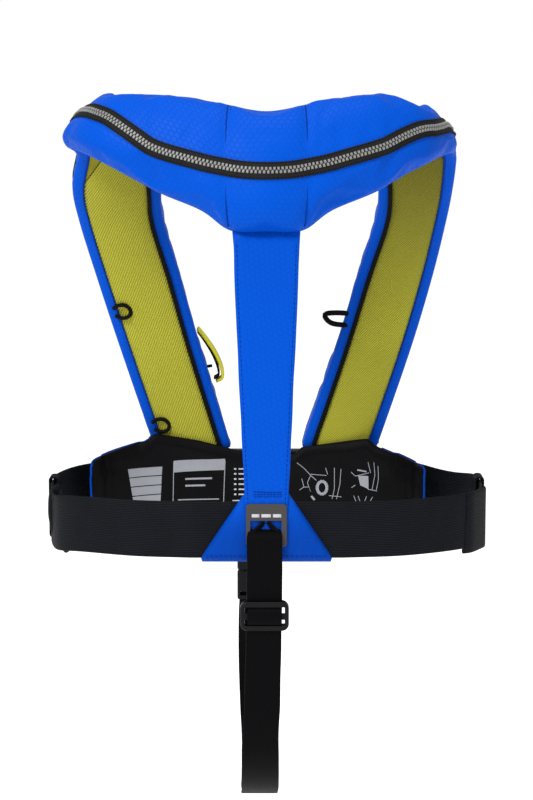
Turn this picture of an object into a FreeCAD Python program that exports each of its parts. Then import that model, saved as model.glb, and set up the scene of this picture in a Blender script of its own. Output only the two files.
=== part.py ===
import FreeCAD, Part
import os
from math import copysign, cos, pi, radians, sin

# Inflatable life jacket for a junior wearer, in millimetres.
# The wearer faces +Y and +Z is up, so +X is on the wearer's right.
# The origin is the middle of the collar's inner face, where it rests on the back of the neck.

# ---- driving dimensions -------------------------------------------------------------------
belt_width = 45.0          # waist belt webbing
webbing_thickness = 2.0
crotch_width = 30.0        # crotch strap webbing
cover_thickness = 2.4      # cover fabric with its foam backing
lining_thickness = 3.5     # spacer mesh on the body side
lip_width = 10.0           # how far the cover wraps round onto the body side
gap = 0.4                  # clear space between pieces that lie side by side
bladder_room = 1.2         # between the folded bladder and its cover
bladder_step_z = -55.0     # below this height the inflator and the oral tube lie behind the bladder
hardware_depth = 28.0      # how far out of a lobe's body side they reach

belt_top = -258.0
belt_bottom = belt_top - belt_width
belt_middle = belt_top - belt_width / 2
panel_top = -243.0
panel_bottom = -311.0
panel_thickness = 5.0

tape_half = 6.8            # a number 5 moulded zip, closed, is 13.6 mm across its tapes
chain_half = 2.7
chain_height = 2.4
zip_lift = 0.6             # the tapes' height over the cover's widest line
zip_travel = 60.0

ring_bore_radius = 12.0    # the hole that a tether clips through
ring_bar = 5.0             # the steel is this wide and this thick all round

# The padded tube that holds the bladder, from the back of the neck down to one front panel.
# Each row: neck-side edge, outer edge, depth, fullness, zip angle (0 at the outer edge).
# The last two rows are joined by a straight stretch, and the others by a smooth curve.
half_tube = [
    ((0, 14, 41.5), (0, -16, -49.5), 30, 2.3, 84),
    ((28, 19, 46.5), (28, -11, -49), 29, 2.3, 85),
    ((50, 25, 50), (50, -7, -34), 28, 2.3, 77),
    ((84, 33, 54.5), (84, 5, -20), 26, 2.3, 79),
    ((114, 48, 47), (113, 22, -3.5), 22, 2.4, 92),
    ((114, 78, 41), (142, 54, 7.5), 19, 2.5, 79),
    ((90.5, 90, 16), (154.5, 84, 5.5), 27, 2.8, 52),
    ((92, 107, -22), (159, 107, -22), 32, 3.4, 38),
    ((90.5, 125, -50), (155.5, 125, -50), 35, 3.8, 34),
    ((77.5, 145, -98), (143.5, 145, -98), 36, 4.0, 32),
    ((59.5, 162, -161), (125.5, 162, -161), 36, 4.0, 32),
    ((34, 180, -240), (101, 180, -240), 34, 4.0, 32),
]
# The left shoulder sits a little higher and wider than the right one.
shoulder_row = 6           # where the collar's cover meets the lobes' covers
left_shoulder = {4: ((-110, 48, 51.5), (-129.5, 22, 3), 24), 5: ((-110, 78, 44.5), (-156.5, 52, 12.5), 21)}

os.makedirs("parts", exist_ok=True)
V = FreeCAD.Vector
nodes = {}


# ---- helpers ------------------------------------------------------------------------------
def keep(name, shape):
    """Writes one node and remembers it."""
    nodes[name] = shape
    shape.exportStep(f"parts/{name}.step")
    if not shape.isValid():
        print("not valid:", name)


def block(x, y, z, radius=0.0):
    """A box from three (low, high) pairs, with all its edges rounded."""
    size = [b - a for a, b in (x, y, z)]
    solid = Part.makeBox(*size, V(x[0], y[0], z[0]))
    return solid.makeFillet(radius, solid.Edges) if radius else solid


def rounded_plate(x, y, z, corner, edge):
    """A plate facing Y, with large corners in X and Z and small roundings round both faces."""
    plate = block(x, y, z)
    plate = plate.makeFillet(corner, [e for e in plate.Edges if abs(e.tangentAt(e.FirstParameter).y) > 0.9])
    return plate.makeFillet(edge, [e for e in plate.Edges if abs(e.tangentAt(e.FirstParameter).y) < 0.1])


def rod(radius, length, start, direction):
    return Part.makeCylinder(radius, length, V(*start), V(*direction))


def polygon(points):
    return Part.makePolygon(points + points[:1])


def slab(outline, y_from, y_to):
    """A flat plate: an outline in X and Z, pushed from one Y to another."""
    face = Part.Face(polygon([V(x, y_from, z) for x, z in outline]))
    return face.extrude(V(0, y_to - y_from, 0))


def loft(sections):
    return Part.makeLoft([polygon(points) for points in sections], True, True)


# ---- the stations of the tube -------------------------------------------------------------
class Station:
    """A cross-section of the padded tube: u runs from the neck side out, n away from the body."""

    def __init__(self, row):
        self.inner = V(*row[:3])
        self.outer = V(*row[3:6])
        self.depth, self.fullness, self.zip_angle = row[6:]
        self.middle = (self.inner + self.outer) * 0.5
        self.width = (self.outer - self.inner).Length

    def aim(self, tangent):
        self.u = (self.outer - self.inner).normalize()
        self.n = self.u.cross(tangent).normalize()

    def at(self, u, n):
        return self.inner + self.u * u + self.n * n

    def dome(self, angle, inset=0.0):
        """A point on the cover, from 0 degrees at the outer edge to 180 at the neck side."""
        half = self.width / 2 - inset
        waist = self.depth * 0.3
        c, s = cos(radians(angle)), sin(radians(angle))
        power = 2 / self.fullness
        u = self.width / 2 + half * copysign(abs(c) ** power, c)
        n = waist + (self.depth - waist - inset) * abs(s) ** power
        return self.at(u, n)

    def zip_frame(self):
        """The middle of the zip, the direction across it and the direction out of the cover."""
        here = self.dome(self.zip_angle)
        across = (self.dome(self.zip_angle - 4) - self.dome(self.zip_angle + 4)).normalize()
        along = self.n.cross(self.u)
        out = across.cross(along).normalize()
        return here, across, out


def tube_rows():
    """The rows of the whole tube, from the left lobe's lower end round the neck to the right lobe's."""
    rows = []
    for side in (-1, 1):
        half = []
        for i, (inner, outer, depth, fullness, zip_angle) in enumerate(half_tube):
            if side < 0 and i in left_shoulder:
                inner, outer, depth = left_shoulder[i]
            half.append([side * abs(inner[0]), *inner[1:], side * abs(outer[0]), *outer[1:],
                         depth, fullness, zip_angle])
        rows += half[:0:-1] if side < 0 else half
    return rows


def halfway(before, start, end, after):
    """The middle of a smooth curve through four rows, between the second and the third."""
    return [(9 * (b + c) - a - d) / 16 for a, b, c, d in zip(before, start, end, after)]


def make_stations():
    rows = tube_rows()
    dense = rows[:1]
    for i in range(1, len(rows) - 2):
        dense += [rows[i], halfway(*rows[i - 1:i + 3])]
    stations = [Station(row) for row in dense + rows[-2:]]
    last = len(stations) - 1
    for i, station in enumerate(stations):
        behind, ahead = (0, 1) if i < 2 else (last - 1, last) if i > last - 2 else (i - 1, i + 1)
        station.aim(stations[ahead].middle - stations[behind].middle)
    return stations


stations = make_stations()
shoulder = 2 * (len(half_tube) - 1 - shoulder_row) - 1
collar_stations = stations[shoulder:-shoulder]
lobe_stations = {"left": stations[shoulder::-1], "right": stations[-shoulder - 1:]}


def cover_section(station):
    """The cover's C shape: round the outside, then back along its inner face."""
    angles = [4, 18, 35, 55, 75, 90, 105, 125, 145, 162, 176]
    w, t = station.width, cover_thickness
    outside = [station.dome(a) for a in angles]
    inside = [station.dome(a, t) for a in reversed(angles)]
    start = [station.at(w - lip_width, t), station.at(w - lip_width, 0), station.at(w - 3, 0.8)]
    turn = [station.at(3, 0.8), station.at(lip_width, 0), station.at(lip_width, t)]
    back = [station.at(3 + t, t)]
    return start + outside + turn + back + inside + [station.at(w - 3 - t, t)]


def slab_section(station, u_low, u_high, n_low, n_high):
    return [station.at(u_low, n_low), station.at(u_high, n_low), station.at(u_high, n_high), station.at(u_low, n_high)]


def lining_section(station):
    low, high = lip_width + gap, station.width - lip_width - gap
    return slab_section(station, low, high, cover_thickness - lining_thickness, cover_thickness)


def bladder_section(station):
    """The folded bladder where it fills the cover."""
    skin = cover_thickness + bladder_room
    points = [station.dome(a, skin) for a in (25, 50, 75, 105, 130, 155)]
    return points + [station.at(skin + 6, skin), station.at(station.width - skin - 6, skin)]


def bladder_arm_section(station):
    """The bladder in a lobe: thick at the shoulder, and a thin layer in front of the hardware below."""
    skin = cover_thickness + bladder_room
    floor = skin if station.middle.z > bladder_step_z else hardware_depth
    top = [station.dome(a, skin) for a in (65, 90, 115)]
    ends = [station.inner + station.u * (p - station.inner).dot(station.u) for p in (top[-1], top[0])]
    return top + [end + station.n * floor for end in ends]


def zip_section(station, low, high, bottom, top):
    here, across, out = station.zip_frame()
    return [here + across * a + out * b for a, b in ((low, bottom), (high, bottom), (high, top), (low, top))]


def lobe_frame(side, height):
    """A placement inside a lobe at a given Z: x runs up the lobe, y outward, z away from the body."""
    lobe = lobe_stations[side]
    upper, lower = next(pair for pair in zip(lobe, lobe[1:]) if pair[1].middle.z <= height)
    share = (height - upper.middle.z) / (lower.middle.z - upper.middle.z)
    here = upper.middle + (lower.middle - upper.middle) * share
    up = (upper.middle - lower.middle).normalize()
    away = lower.n
    outward = away.cross(up)
    turn = FreeCAD.Rotation(up, outward, away, "XYZ")
    return FreeCAD.Placement(here, turn)


def placed(shape, placement):
    shape = shape.copy()
    shape.Placement = placement.multiply(shape.Placement)
    return shape


def band(path, low, high, thickness):
    """An upright strip of webbing or padding along a list of (x, y) points; heights may vary."""
    low = [low] * len(path) if isinstance(low, float) else low
    high = [high] * len(path) if isinstance(high, float) else high
    sections = []
    for i, (x, y) in enumerate(path):
        ahead, behind = path[min(i + 1, len(path) - 1)], path[max(i - 1, 0)]
        run = V(ahead[0] - behind[0], ahead[1] - behind[1], 0).normalize()
        out = V(run.y, -run.x, 0) * (thickness / 2)
        a, b = V(x, y, 0) + out, V(x, y, 0) - out
        sections.append([V(a.x, a.y, low[i]), V(b.x, b.y, low[i]), V(b.x, b.y, high[i]), V(a.x, a.y, high[i])])
    return loft(sections)


def belt_run(path):
    """A stretch of the waist belt along a list of (x, y) points."""
    edges = [[], []]
    for i, (x, y) in enumerate(path):
        ahead, behind = path[min(i + 1, len(path) - 1)], path[max(i - 1, 0)]
        run = V(ahead[0] - behind[0], ahead[1] - behind[1], 0).normalize()
        for edge, sign in zip(edges, (1, -1)):
            edge.append(V(x, y, belt_bottom) + V(run.y, -run.x, 0) * (sign * webbing_thickness / 2))
    return Part.Face(polygon(edges[0] + edges[1][::-1])).extrude(V(0, 0, belt_width))


def strap(path, width, thickness, x_shift=None):
    """A strap lying across X, along a list of (y, z) points."""
    x_shift = x_shift or [0.0] * len(path)
    widths = [width] * len(path) if isinstance(width, float) else width
    sections = []
    for i, (y, z) in enumerate(path):
        ahead, behind = path[min(i + 1, len(path) - 1)], path[max(i - 1, 0)]
        run = V(0, ahead[0] - behind[0], ahead[1] - behind[1]).normalize()
        out = V(0, run.z, -run.y) * (thickness / 2)
        x, half = x_shift[i], widths[i] / 2
        sections.append([V(x - half, y, z) + out, V(x + half, y, z) + out,
                         V(x + half, y, z) - out, V(x - half, y, z) - out])
    return loft(sections)


# ---- covers, linings and bladder ----------------------------------------------------------
def make_covers():
    keep("collar_cover", loft([cover_section(s) for s in collar_stations]))
    for side, stations in lobe_stations.items():
        keep(f"{side}_lobe_cover", loft([cover_section(s) for s in stations]))


def make_linings():
    keep("neck_lining", loft([lining_section(s) for s in collar_stations]))
    for side, stations in lobe_stations.items():
        keep(f"{side}_lobe_lining", loft([lining_section(s) for s in stations]))


def make_bladder():
    """A folded pack in the collar and an arm down each lobe."""
    collar = loft([bladder_section(s) for s in collar_stations])
    arms = [loft([bladder_arm_section(s) for s in lobe[1:]]) for lobe in lobe_stations.values()]
    keep("bladder", Part.makeCompound([collar] + arms))


def make_zip():
    low, high = zip_lift, zip_lift + 0.9
    inside = chain_half + 0.1
    keep("zip_upper_tape", loft([zip_section(s, -tape_half, -inside, low, high) for s in stations]))
    keep("zip_lower_tape", loft([zip_section(s, inside, tape_half, low, high) for s in stations]))
    keep("zip_teeth", loft([zip_section(s, -chain_half, chain_half, low, low + chain_height) for s in stations]))


def zip_placement():
    """Where the slider rests: near the lower end of the left lobe; x runs up along the zip."""
    upper, lower = stations[1].zip_frame(), stations[0].zip_frame()
    up = (upper[0] - lower[0]).normalize()
    out = (upper[2] + lower[2]).normalize()
    side = out.cross(up).normalize()
    return FreeCAD.Placement(lower[0] + up * 12, FreeCAD.Rotation(up, side, out, "XYZ")), up, side, out


def make_slider():
    place, up, side, out = zip_placement()
    tunnel = block((-7, 7), (-chain_half - 0.7, chain_half + 0.7), (0.5, chain_height + 1.4))
    body = block((-5.5, 5.5), (-5, 5), (1.9, chain_height + 3.0), 0.8)
    bridge = block((-3, 3), (-1.0, 1.0), (chain_height + 2.6, chain_height + 6.4), 0.4)
    eye = block((-1.6, 1.6), (-2, 2), (chain_height + 3.4, chain_height + 5.0))
    keep("zip_slider", placed(body.fuse(bridge).cut(tunnel).cut(eye), place))
    high = chain_height + 4.2
    pin = rod(0.7, 5.6, (0, -2.8, high), (0, 1, 0))
    cheeks = [block((-12, 0.8), (y - 0.9, y + 0.9), (high - 0.8, high + 0.8)) for y in (-2.7, 2.7)]
    tab = block((-34, -11), (-3.6, 3.6), (high - 1.0, high + 1.0), 0.6)
    keep("zip_pull", placed(pin.fuse(cheeks).fuse(tab), place))
    pivot = place.multVec(V(0, 0, high))
    print("zip pull pivot", pivot, "axis", side, "zip travel", zip_travel, "along", up)


# ---- back strap, belt sleeve and front panels ---------------------------------------------
plate_top = -258.5


def make_back():
    path = [(-17, -47.5), (-18, -62), (-17.5, -100), (-22, -160), (-27, -215), (-31.2, -250), (-31.2, plate_top + gap)]
    widths = [56.0, 53.0, 49.0, 41.0, 36.0, 33.5, 33.5]
    keep("back_strap", strap(path, widths, 2.4))
    outline = [(-17, -252), (17, -252), (53, -305), (-53, -305)]
    sleeve = slab(outline, -30.4, -19.6)
    channel = block((-60, 60), (-27.6, -22.4), (belt_bottom - 0.8, belt_top + 0.8))
    recess = block((-17.2, 17.2), (-31, -29.4), (-262.5, -251))
    keep("belt_sleeve", sleeve.cut(channel).cut(recess))


def make_panels():
    left = [(-6, 181.5), (-40, 181.5), (-80, 179), (-112, 168), (-136, 150), (-150, 125)]
    right = [(6, 181.5), (40, 181.5), (75, 179), (104, 168), (124, 150), (135, 125)]
    tops = [panel_top, panel_top, panel_top, -247.0, -250.0, -251.0]
    keep("left_front_panel", band(left, panel_bottom, tops, panel_thickness))
    keep("right_front_panel", band(right, panel_bottom, tops, panel_thickness))
    labels = {"left": [(-52, 177.5), (-79.2, 175.6), (-95, 170.2)], "right": [(60, 176.8), (74.2, 175.6), (100, 165.9)]}
    for side, path in labels.items():
        keep(f"{side}_care_label", band(path, -300.0, -262.0, 0.5))


# ---- waist belt ---------------------------------------------------------------------------
belt_back_half = 59.8
belt_side = 176.0          # the belt's straight stretch at the wearer's side
belt_left = [(-60, -25), (-105, -18), (-143, 0), (-164, 20), (-173, 40), (-belt_side, 58), (-belt_side, 100),
             (-167, 130), (-152, 152), (-127, 172), (-98, 186), (-75, 189.7), (-40, 189.7)]
belt_right = [(60, -25), (105, -18), (143, 0), (164, 20), (173, 40), (belt_side, 58), (belt_side, 100),
              (165, 130), (146, 152), (124, 172), (97, 186)]
belt_front = [(96.6, 186.8), (88, 189.7), (60, 189.7), (38, 189.7)]


def make_belt():
    keep("waist_belt_back", belt_run([(-belt_back_half, -25), (belt_back_half, -25)]))
    keep("waist_belt_left", belt_run(belt_left))
    keep("waist_belt_right", belt_run(belt_right))
    keep("waist_belt_front_end", belt_run(belt_front))


def keeper(side, depth, length):
    """A flat loop that slides along the straight stretch of the belt at the wearer's side."""
    x, wall, y = belt_side * side, 2.0, (66.0, 66.0 + length)
    room = webbing_thickness / 2 + 0.5
    outer = block((x - room - wall, x + room + wall), y, (belt_bottom - depth, belt_top + depth), 0.9)
    return outer.cut(block((x - room, x + room), (y[0] - 1, y[1] + 1), (belt_bottom - 0.8, belt_top + 0.8)))


def make_keepers():
    keep("left_belt_keeper", keeper(-1, 3.2, 18))
    keep("right_belt_keeper", keeper(1, 3.2, 22))


# ---- front buckle and lifting ring --------------------------------------------------------
buckle_y = (187.0, 199.0)
buckle_middle = 193.0


def make_front_buckle():
    z = belt_middle
    body = block((-40, 6), buckle_y, (z - 28, z + 28), 2.5)
    socket = block((-22, 10), (188.8, 197.2), (z - 24.5, z + 24.5))
    windows = [block((-16, -4), (189.5, 196.5), sorted((z + s * 20, z + s * 32))) for s in (-1, 1)]
    slot = block((-35, -31), (180, 205), (z - 23, z + 23))
    keep("belt_buckle_female", body.cut(socket).cut(slot).cut(windows[0]).cut(windows[1]))
    base = block((6.8, 37), buckle_y, (z - 28, z + 28), 2.5)
    slots = [block((x, x + 4), (180, 205), (z - 23, z + 23)) for x in (16, 27)]
    guide = block((-20, 8), (190.5, 195.5), (z - 6, z + 6), 0.6)
    prongs = []
    for s in (-1, 1):
        arm = block((-14, 8), (190, 196), sorted((z + s * 14, z + s * 19.5)), 0.6)
        hook = block((-15.5, -5), (190, 196), sorted((z + s * 16, z + s * 23.6)), 0.8)
        prongs += [arm, hook]
    keep("belt_buckle_male", base.cut(slots[0]).cut(slots[1]).fuse([guide] + prongs))


ring_x, ring_y, ring_pivot_z = -66.0, 197.5, -276.0
ring_slot_height = 3.8
loop_inside, loop_outside = 3.75, 5.0


def make_ring():
    """A flat steel ring. Its top bar hangs in a webbing loop on the front of the belt."""
    half, y = ring_bar / 2, (ring_y - ring_bar / 2, ring_y + ring_bar / 2)
    slot_top = ring_pivot_z - half
    slot_bottom = slot_top - ring_slot_height
    center_z = slot_bottom - 3 - ring_bore_radius
    start = (ring_x, y[0], center_z)
    ring = rod(ring_bore_radius + ring_bar, ring_bar, start, (0, 1, 0))
    ring = ring.fuse(block((ring_x - 13, ring_x + 13), y, (center_z, ring_pivot_z + half))).removeSplitter()
    ring = ring.makeFillet(1.2, ring.Edges)
    ring = ring.cut(rod(ring_bore_radius, ring_bar, start, (0, 1, 0)))
    ring = ring.cut(block((ring_x - 9, ring_x + 9), (y[0] - 1, y[1] + 1), (slot_bottom, slot_top)))
    keep("lifting_ring", ring)
    start = (ring_x - 6, ring_y, ring_pivot_z)
    loop = rod(loop_outside, 12, start, (1, 0, 0))
    patch = block((ring_x - 6, ring_x + 6), (191.0, 192.9), (ring_pivot_z - 12, belt_top - 1))
    keep("ring_loop", loop.fuse(patch).cut(rod(loop_inside, 12, start, (1, 0, 0))))


# ---- crotch strap -------------------------------------------------------------------------
front_x = -8.0
front_y = 193.0
strap_y = -36.2
strap_thickness = 1.8
strap_bend_z = -440.0      # where the hanging strap starts to curve
strap_drop = 80.0
triglide_z = (-358.0, -335.0)
buckle_half = 18.0


def make_crotch():
    half = crotch_width / 2
    plate = rounded_plate((-16, 16), (-34.4, -31.6), (-292.5, plate_top), 3.0, 1.0)
    keep("crotch_plate", plate.cut(block((-12.7, 11.7), (-36, -30), (-282.5, -271.5))))
    keep("crotch_fold", block((-half, half), (-38.8, -34.8), (-300, -272.5), 0.8))
    steps, split = 10, 7
    arc = [(strap_y + (front_y - strap_y) * (1 - cos(pi * i / steps)) / 2,
            strap_bend_z - strap_drop * sin(pi * i / steps)) for i in range(steps + 1)]
    arc_shift = [-4 + (front_x + 4) * i / steps for i in range(steps + 1)]
    path = [(strap_y - 0.2, -300.3), (strap_y, -330), (strap_y, -386)] + arc[:split + 1]
    keep("crotch_strap_back", strap(path, crotch_width, strap_thickness, [-0.5, -1, -2.5] + arc_shift[:split + 1]))
    path = arc[split:] + [(front_y, -388.5)]
    keep("crotch_strap_front", strap(path, crotch_width, strap_thickness, arc_shift[split:] + [front_x]))


def make_triglide():
    y = (-41.0, -31.5)
    z = triglide_z
    frame = rounded_plate((-20.5, 17.5), y, z, 5.5, 1.2)
    window = block((-17.3, 14.3), (-45, -25), (z[0] + 4, z[1] - 4))
    passage = block((-17.3, 14.3), (-38.4, -34.0), (z[0] - 1, z[1] + 1))
    bar = block((-18.5, 15.5), (-40.6, -38.8), ((z[0] + z[1]) / 2 - 2.5, (z[0] + z[1]) / 2 + 2.5))
    keep("crotch_triglide", frame.cut(window).cut(passage).fuse(bar))


def make_crotch_buckle():
    x, y = front_x, (front_y - 5, front_y + 5)
    path = [(185.4, belt_top - 4), (185.4, -309.5), (191, -320), (front_y, -327.5)]
    keep("crotch_front_tab", strap(path, crotch_width, 1.6, [x] * len(path)))
    body = block((x - buckle_half, x + buckle_half), y, (-361, -328), 2.0)
    socket = block((x - 15.6, x + 15.6), (y[0] + 1.6, y[1] - 1.6), (-365, -342))
    windows = [block(sorted((x + s * 13, x + s * 24)), (y[0] + 2, y[1] - 2), (-357, -347)) for s in (-1, 1)]
    keep("crotch_buckle_female", body.cut(socket).cut(windows[0]).cut(windows[1]))
    base = block((x - buckle_half, x + buckle_half), y, (-388, -361.8), 2.0)
    slot = block((x - 15.6, x + 15.6), (y[0] - 1, y[1] + 1), (-384, -380.5))
    guide = block((x - 4, x + 4), (y[0] + 2.4, y[1] - 2.4), (-362, -344), 0.5)
    prongs = []
    for s in (-1, 1):
        prongs.append(block(sorted((x + s * 8.5, x + s * 12.5)), (y[0] + 2.2, y[1] - 2.2), (-362, -347), 0.5))
        prongs.append(block(sorted((x + s * 10.5, x + s * 15.0)), (y[0] + 2.2, y[1] - 2.2), (-356, -346), 0.6))
    keep("crotch_buckle_male", base.cut(slot).fuse([guide] + prongs))


# ---- inflator in the left lobe ------------------------------------------------------------
lever_travel_deg = 55.0
tab_travel = 22.0
inflator_z = -175.0


def make_inflator():
    place = lobe_frame("left", inflator_z)
    axis_y, axis_z = -8.0, 16.0
    body = block((-20, 22), (axis_y - 12, axis_y + 12), (axis_z - 11.5, axis_z + 11.5), 3.0)
    body = body.cut(rod(5.06, 10, (13, axis_y, axis_z), (1, 0, 0)))
    body = body.cut(rod(2.05, 30, (-8, axis_y, axis_z), (1, 0, 0)))
    ears = [block((-2, 12), (0, 10), (c - 1.5, c + 1.5)) for c in (axis_z - 5, axis_z + 5)]
    body = body.fuse(ears).cut(rod(1.5, 20, (5, 7, axis_z - 10), (0, 0, 1)))
    keep("inflator_body", placed(body, place))
    keep("lever_pin", placed(rod(1.5, 13, (5, 7, axis_z - 6.5), (0, 0, 1)), place))
    lever = block((3, 7), (7, 22), (axis_z - 3, axis_z + 3), 0.8)
    hub = rod(2.7, 6, (5, 7, axis_z - 3), (0, 0, 1))
    lever = lever.fuse(hub).cut(rod(1.56, 8, (5, 7, axis_z - 4), (0, 0, 1)))
    lever.rotate(V(5, 7, 0), V(0, 0, 1), -lever_travel_deg / 2)
    keep("firing_lever", placed(lever, place))
    keep("firing_pin", placed(rod(2.0, 12, (-6, axis_y, axis_z), (1, 0, 0)), place))
    keep("auto_cartridge", placed(rod(10, 13, (-33.2, axis_y, axis_z), (1, 0, 0)), place))
    bottle = rod(11, 76, (26, axis_y, axis_z), (1, 0, 0))
    bottle = bottle.makeFillet(6, bottle.Edges)
    neck = rod(5.0, 12, (15, axis_y, axis_z), (1, 0, 0))
    keep("gas_cylinder", placed(bottle.fuse(neck), place))
    room = placed(rod(11.8, 80, (24, axis_y, axis_z), (1, 0, 0)), place)
    keep("bladder", Part.makeCompound([solid.cut(room).Solids[0] for solid in nodes["bladder"].Solids]))
    cord_y, cord_z = 22.0, axis_z + 5.5
    run = rod(1.5, 26, (-20, cord_y, cord_z), (1, 0, 0))
    across = rod(1.5, 12.9, (-20, cord_y, cord_z), (0, 1, 0))
    keep("pull_cord", placed(run.fuse(across).fuse(Part.makeSphere(1.5, V(-20, cord_y, cord_z))), place))
    tab = block((-34, 16), (35.2, 44.2), (cord_z - 5, cord_z + 5), 3.0)
    keep("pull_tab", placed(tab, place))
    up, outward, away = [place.Rotation.multVec(V(*a)) for a in ((1, 0, 0), (0, 1, 0), (0, 0, 1))]
    for name, vector in (("lobe up", up), ("lobe inward", outward), ("lobe away", away)):
        print(name, tuple(round(v, 5) for v in vector))
    for name, point in (("lever pivot", V(5, 7, axis_z)), ("cylinder axis", V(60, axis_y, axis_z))):
        print(name, tuple(round(v / 1000, 6) for v in place.multVec(point)))
    return place, (cord_y, cord_z)


def cut_cord_slot(place, cord):
    """A slot in the left cover and lining edge that lets the pull cord out and travel down."""
    slot = block((-20 - tab_travel - 4, -16), (25, 36), (cord[1] - 3, cord[1] + 3))
    keep("left_lobe_cover", nodes["left_lobe_cover"].cut(placed(slot, place)))


# ---- oral tube and whistle in the right lobe ----------------------------------------------
def make_oral_tube():
    place = lobe_frame("right", inflator_z)
    middle = 15.0
    tube = rod(6, 72, (-20, 0, middle), (1, 0, 0)).cut(rod(4.0, 80, (-15, 0, middle), (1, 0, 0)))
    seat = rod(4.2, 2, (35, 0, middle), (1, 0, 0)).cut(rod(1.6, 4, (34, 0, middle), (1, 0, 0)))
    keep("oral_tube", placed(tube.fuse(seat), place))
    stem = rod(1.2, 15, (33, 0, middle), (1, 0, 0))
    keep("oral_valve", placed(rod(3.8, 2.0, (47.5, 0, middle), (1, 0, 0)).fuse(stem), place))
    spring = rod(3.4, 10.3, (37.1, 0, middle), (1, 0, 0)).cut(rod(1.8, 12, (36, 0, middle), (1, 0, 0)))
    keep("oral_spring", placed(spring, place))
    cap = rod(8, 14, (41, 0, middle), (1, 0, 0)).cut(rod(6.06, 12, (40.9, 0, middle), (1, 0, 0)))
    keep("oral_cap", placed(cap, place))
    whistle = block((-34, 6), (-26, -14), (8, 17), 2.0).cut(block((-30, -24), (-27, -13), (14, 18)))
    eye = rod(1.06, 14, (9, -27, 12.5), (0, 1, 0))
    whistle = whistle.fuse(block((4, 12), (-22, -18), (9.5, 15.5), 0.6)).cut(eye)
    keep("whistle", placed(whistle, place))
    keep("whistle_pin", placed(rod(1.0, 11, (9, -25.5, 12.5), (0, 1, 0)), place))
    up, outward = [place.Rotation.multVec(V(*a)) for a in ((1, 0, 0), (0, 1, 0))]
    print("right up", tuple(round(v, 5) for v in up), "outward", tuple(round(v, 5) for v in outward),
          "whistle pivot", tuple(round(v / 1000, 6) for v in place.multVec(V(9, -20, 12.5))))


# ---- small pieces on the outside ----------------------------------------------------------
def make_loops():
    """Two elastic cord loops on the left lining's outer edge, and a webbing loop on the right lobe."""
    for name, height, out in (("upper_cord_loop", -122.5, 17.5), ("lower_cord_loop", -220.0, 25.2)):
        place = lobe_frame("left", height)
        ring = Part.makeTorus(5.5, 1.5, V(0, -out, -3.3), V(0, 0, 1))
        keep(name, placed(ring, place))
    outline = [(44, -124), (66, -128), (66, -137), (44, -136)]
    hole = [(49, -127), (62.5, -130.5), (49, -133.5)]
    keep("accessory_loop", slab(outline, 158, 162).cut(slab(hole, 155, 165)))


make_covers()
make_linings()
make_bladder()
make_zip()
make_slider()
make_back()
make_panels()
make_belt()
make_keepers()
make_front_buckle()
make_ring()
make_crotch()
make_triglide()
make_crotch_buckle()
lever_place, cord_place = make_inflator()
cut_cord_slot(lever_place, cord_place)
make_oral_tube()
make_loops()
print(len(nodes), "nodes")
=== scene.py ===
import math

import bpy
import numpy as np
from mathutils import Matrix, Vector, noise


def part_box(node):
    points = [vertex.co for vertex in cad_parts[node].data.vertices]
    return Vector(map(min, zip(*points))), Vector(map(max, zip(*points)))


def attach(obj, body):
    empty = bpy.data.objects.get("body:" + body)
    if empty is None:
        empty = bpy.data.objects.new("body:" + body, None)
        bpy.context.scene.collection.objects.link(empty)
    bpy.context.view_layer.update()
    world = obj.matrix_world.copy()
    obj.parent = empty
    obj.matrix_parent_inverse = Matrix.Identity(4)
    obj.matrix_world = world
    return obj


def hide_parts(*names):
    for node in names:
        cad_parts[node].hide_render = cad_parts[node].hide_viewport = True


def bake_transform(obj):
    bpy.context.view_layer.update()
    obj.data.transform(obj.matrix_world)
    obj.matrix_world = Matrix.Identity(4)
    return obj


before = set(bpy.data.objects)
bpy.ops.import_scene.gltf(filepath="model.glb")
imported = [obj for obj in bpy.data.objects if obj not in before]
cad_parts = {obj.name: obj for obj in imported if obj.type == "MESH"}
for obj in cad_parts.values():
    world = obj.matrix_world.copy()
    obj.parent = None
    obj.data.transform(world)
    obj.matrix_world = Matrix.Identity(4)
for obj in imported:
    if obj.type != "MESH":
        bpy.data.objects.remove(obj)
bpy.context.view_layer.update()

MM = 0.001
JACKET = "root_jacket"

# ---- sizes, in millimetres, as the CAD part has them ---------------------------------------
BELT_TOP, BELT_BOTTOM = [1000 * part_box("waist_belt_back")[i].z for i in (1, 0)]
BELT_SIDE_X = 176.0
BELT_Z = (BELT_TOP + BELT_BOTTOM) / 2
LIP = 10.0                # the cover's edge on the body side
TAPE_HALF = 6.8
TOOTH_PITCH = 1.55        # half the pitch of one row of teeth
WAIST_SHARE = 0.3         # how far out of the body side the tube is widest
FLATNESS = 0.4            # how square the body side's corners are: less is squarer
RING_STEP = 5.0
PANEL_BOTTOM = -311.0
CROTCH_FRONT_X = -8.0     # the crotch strap's front leg and its tab
UP, ACROSS = (0, 0, 1), (1, 0, 0)

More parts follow.
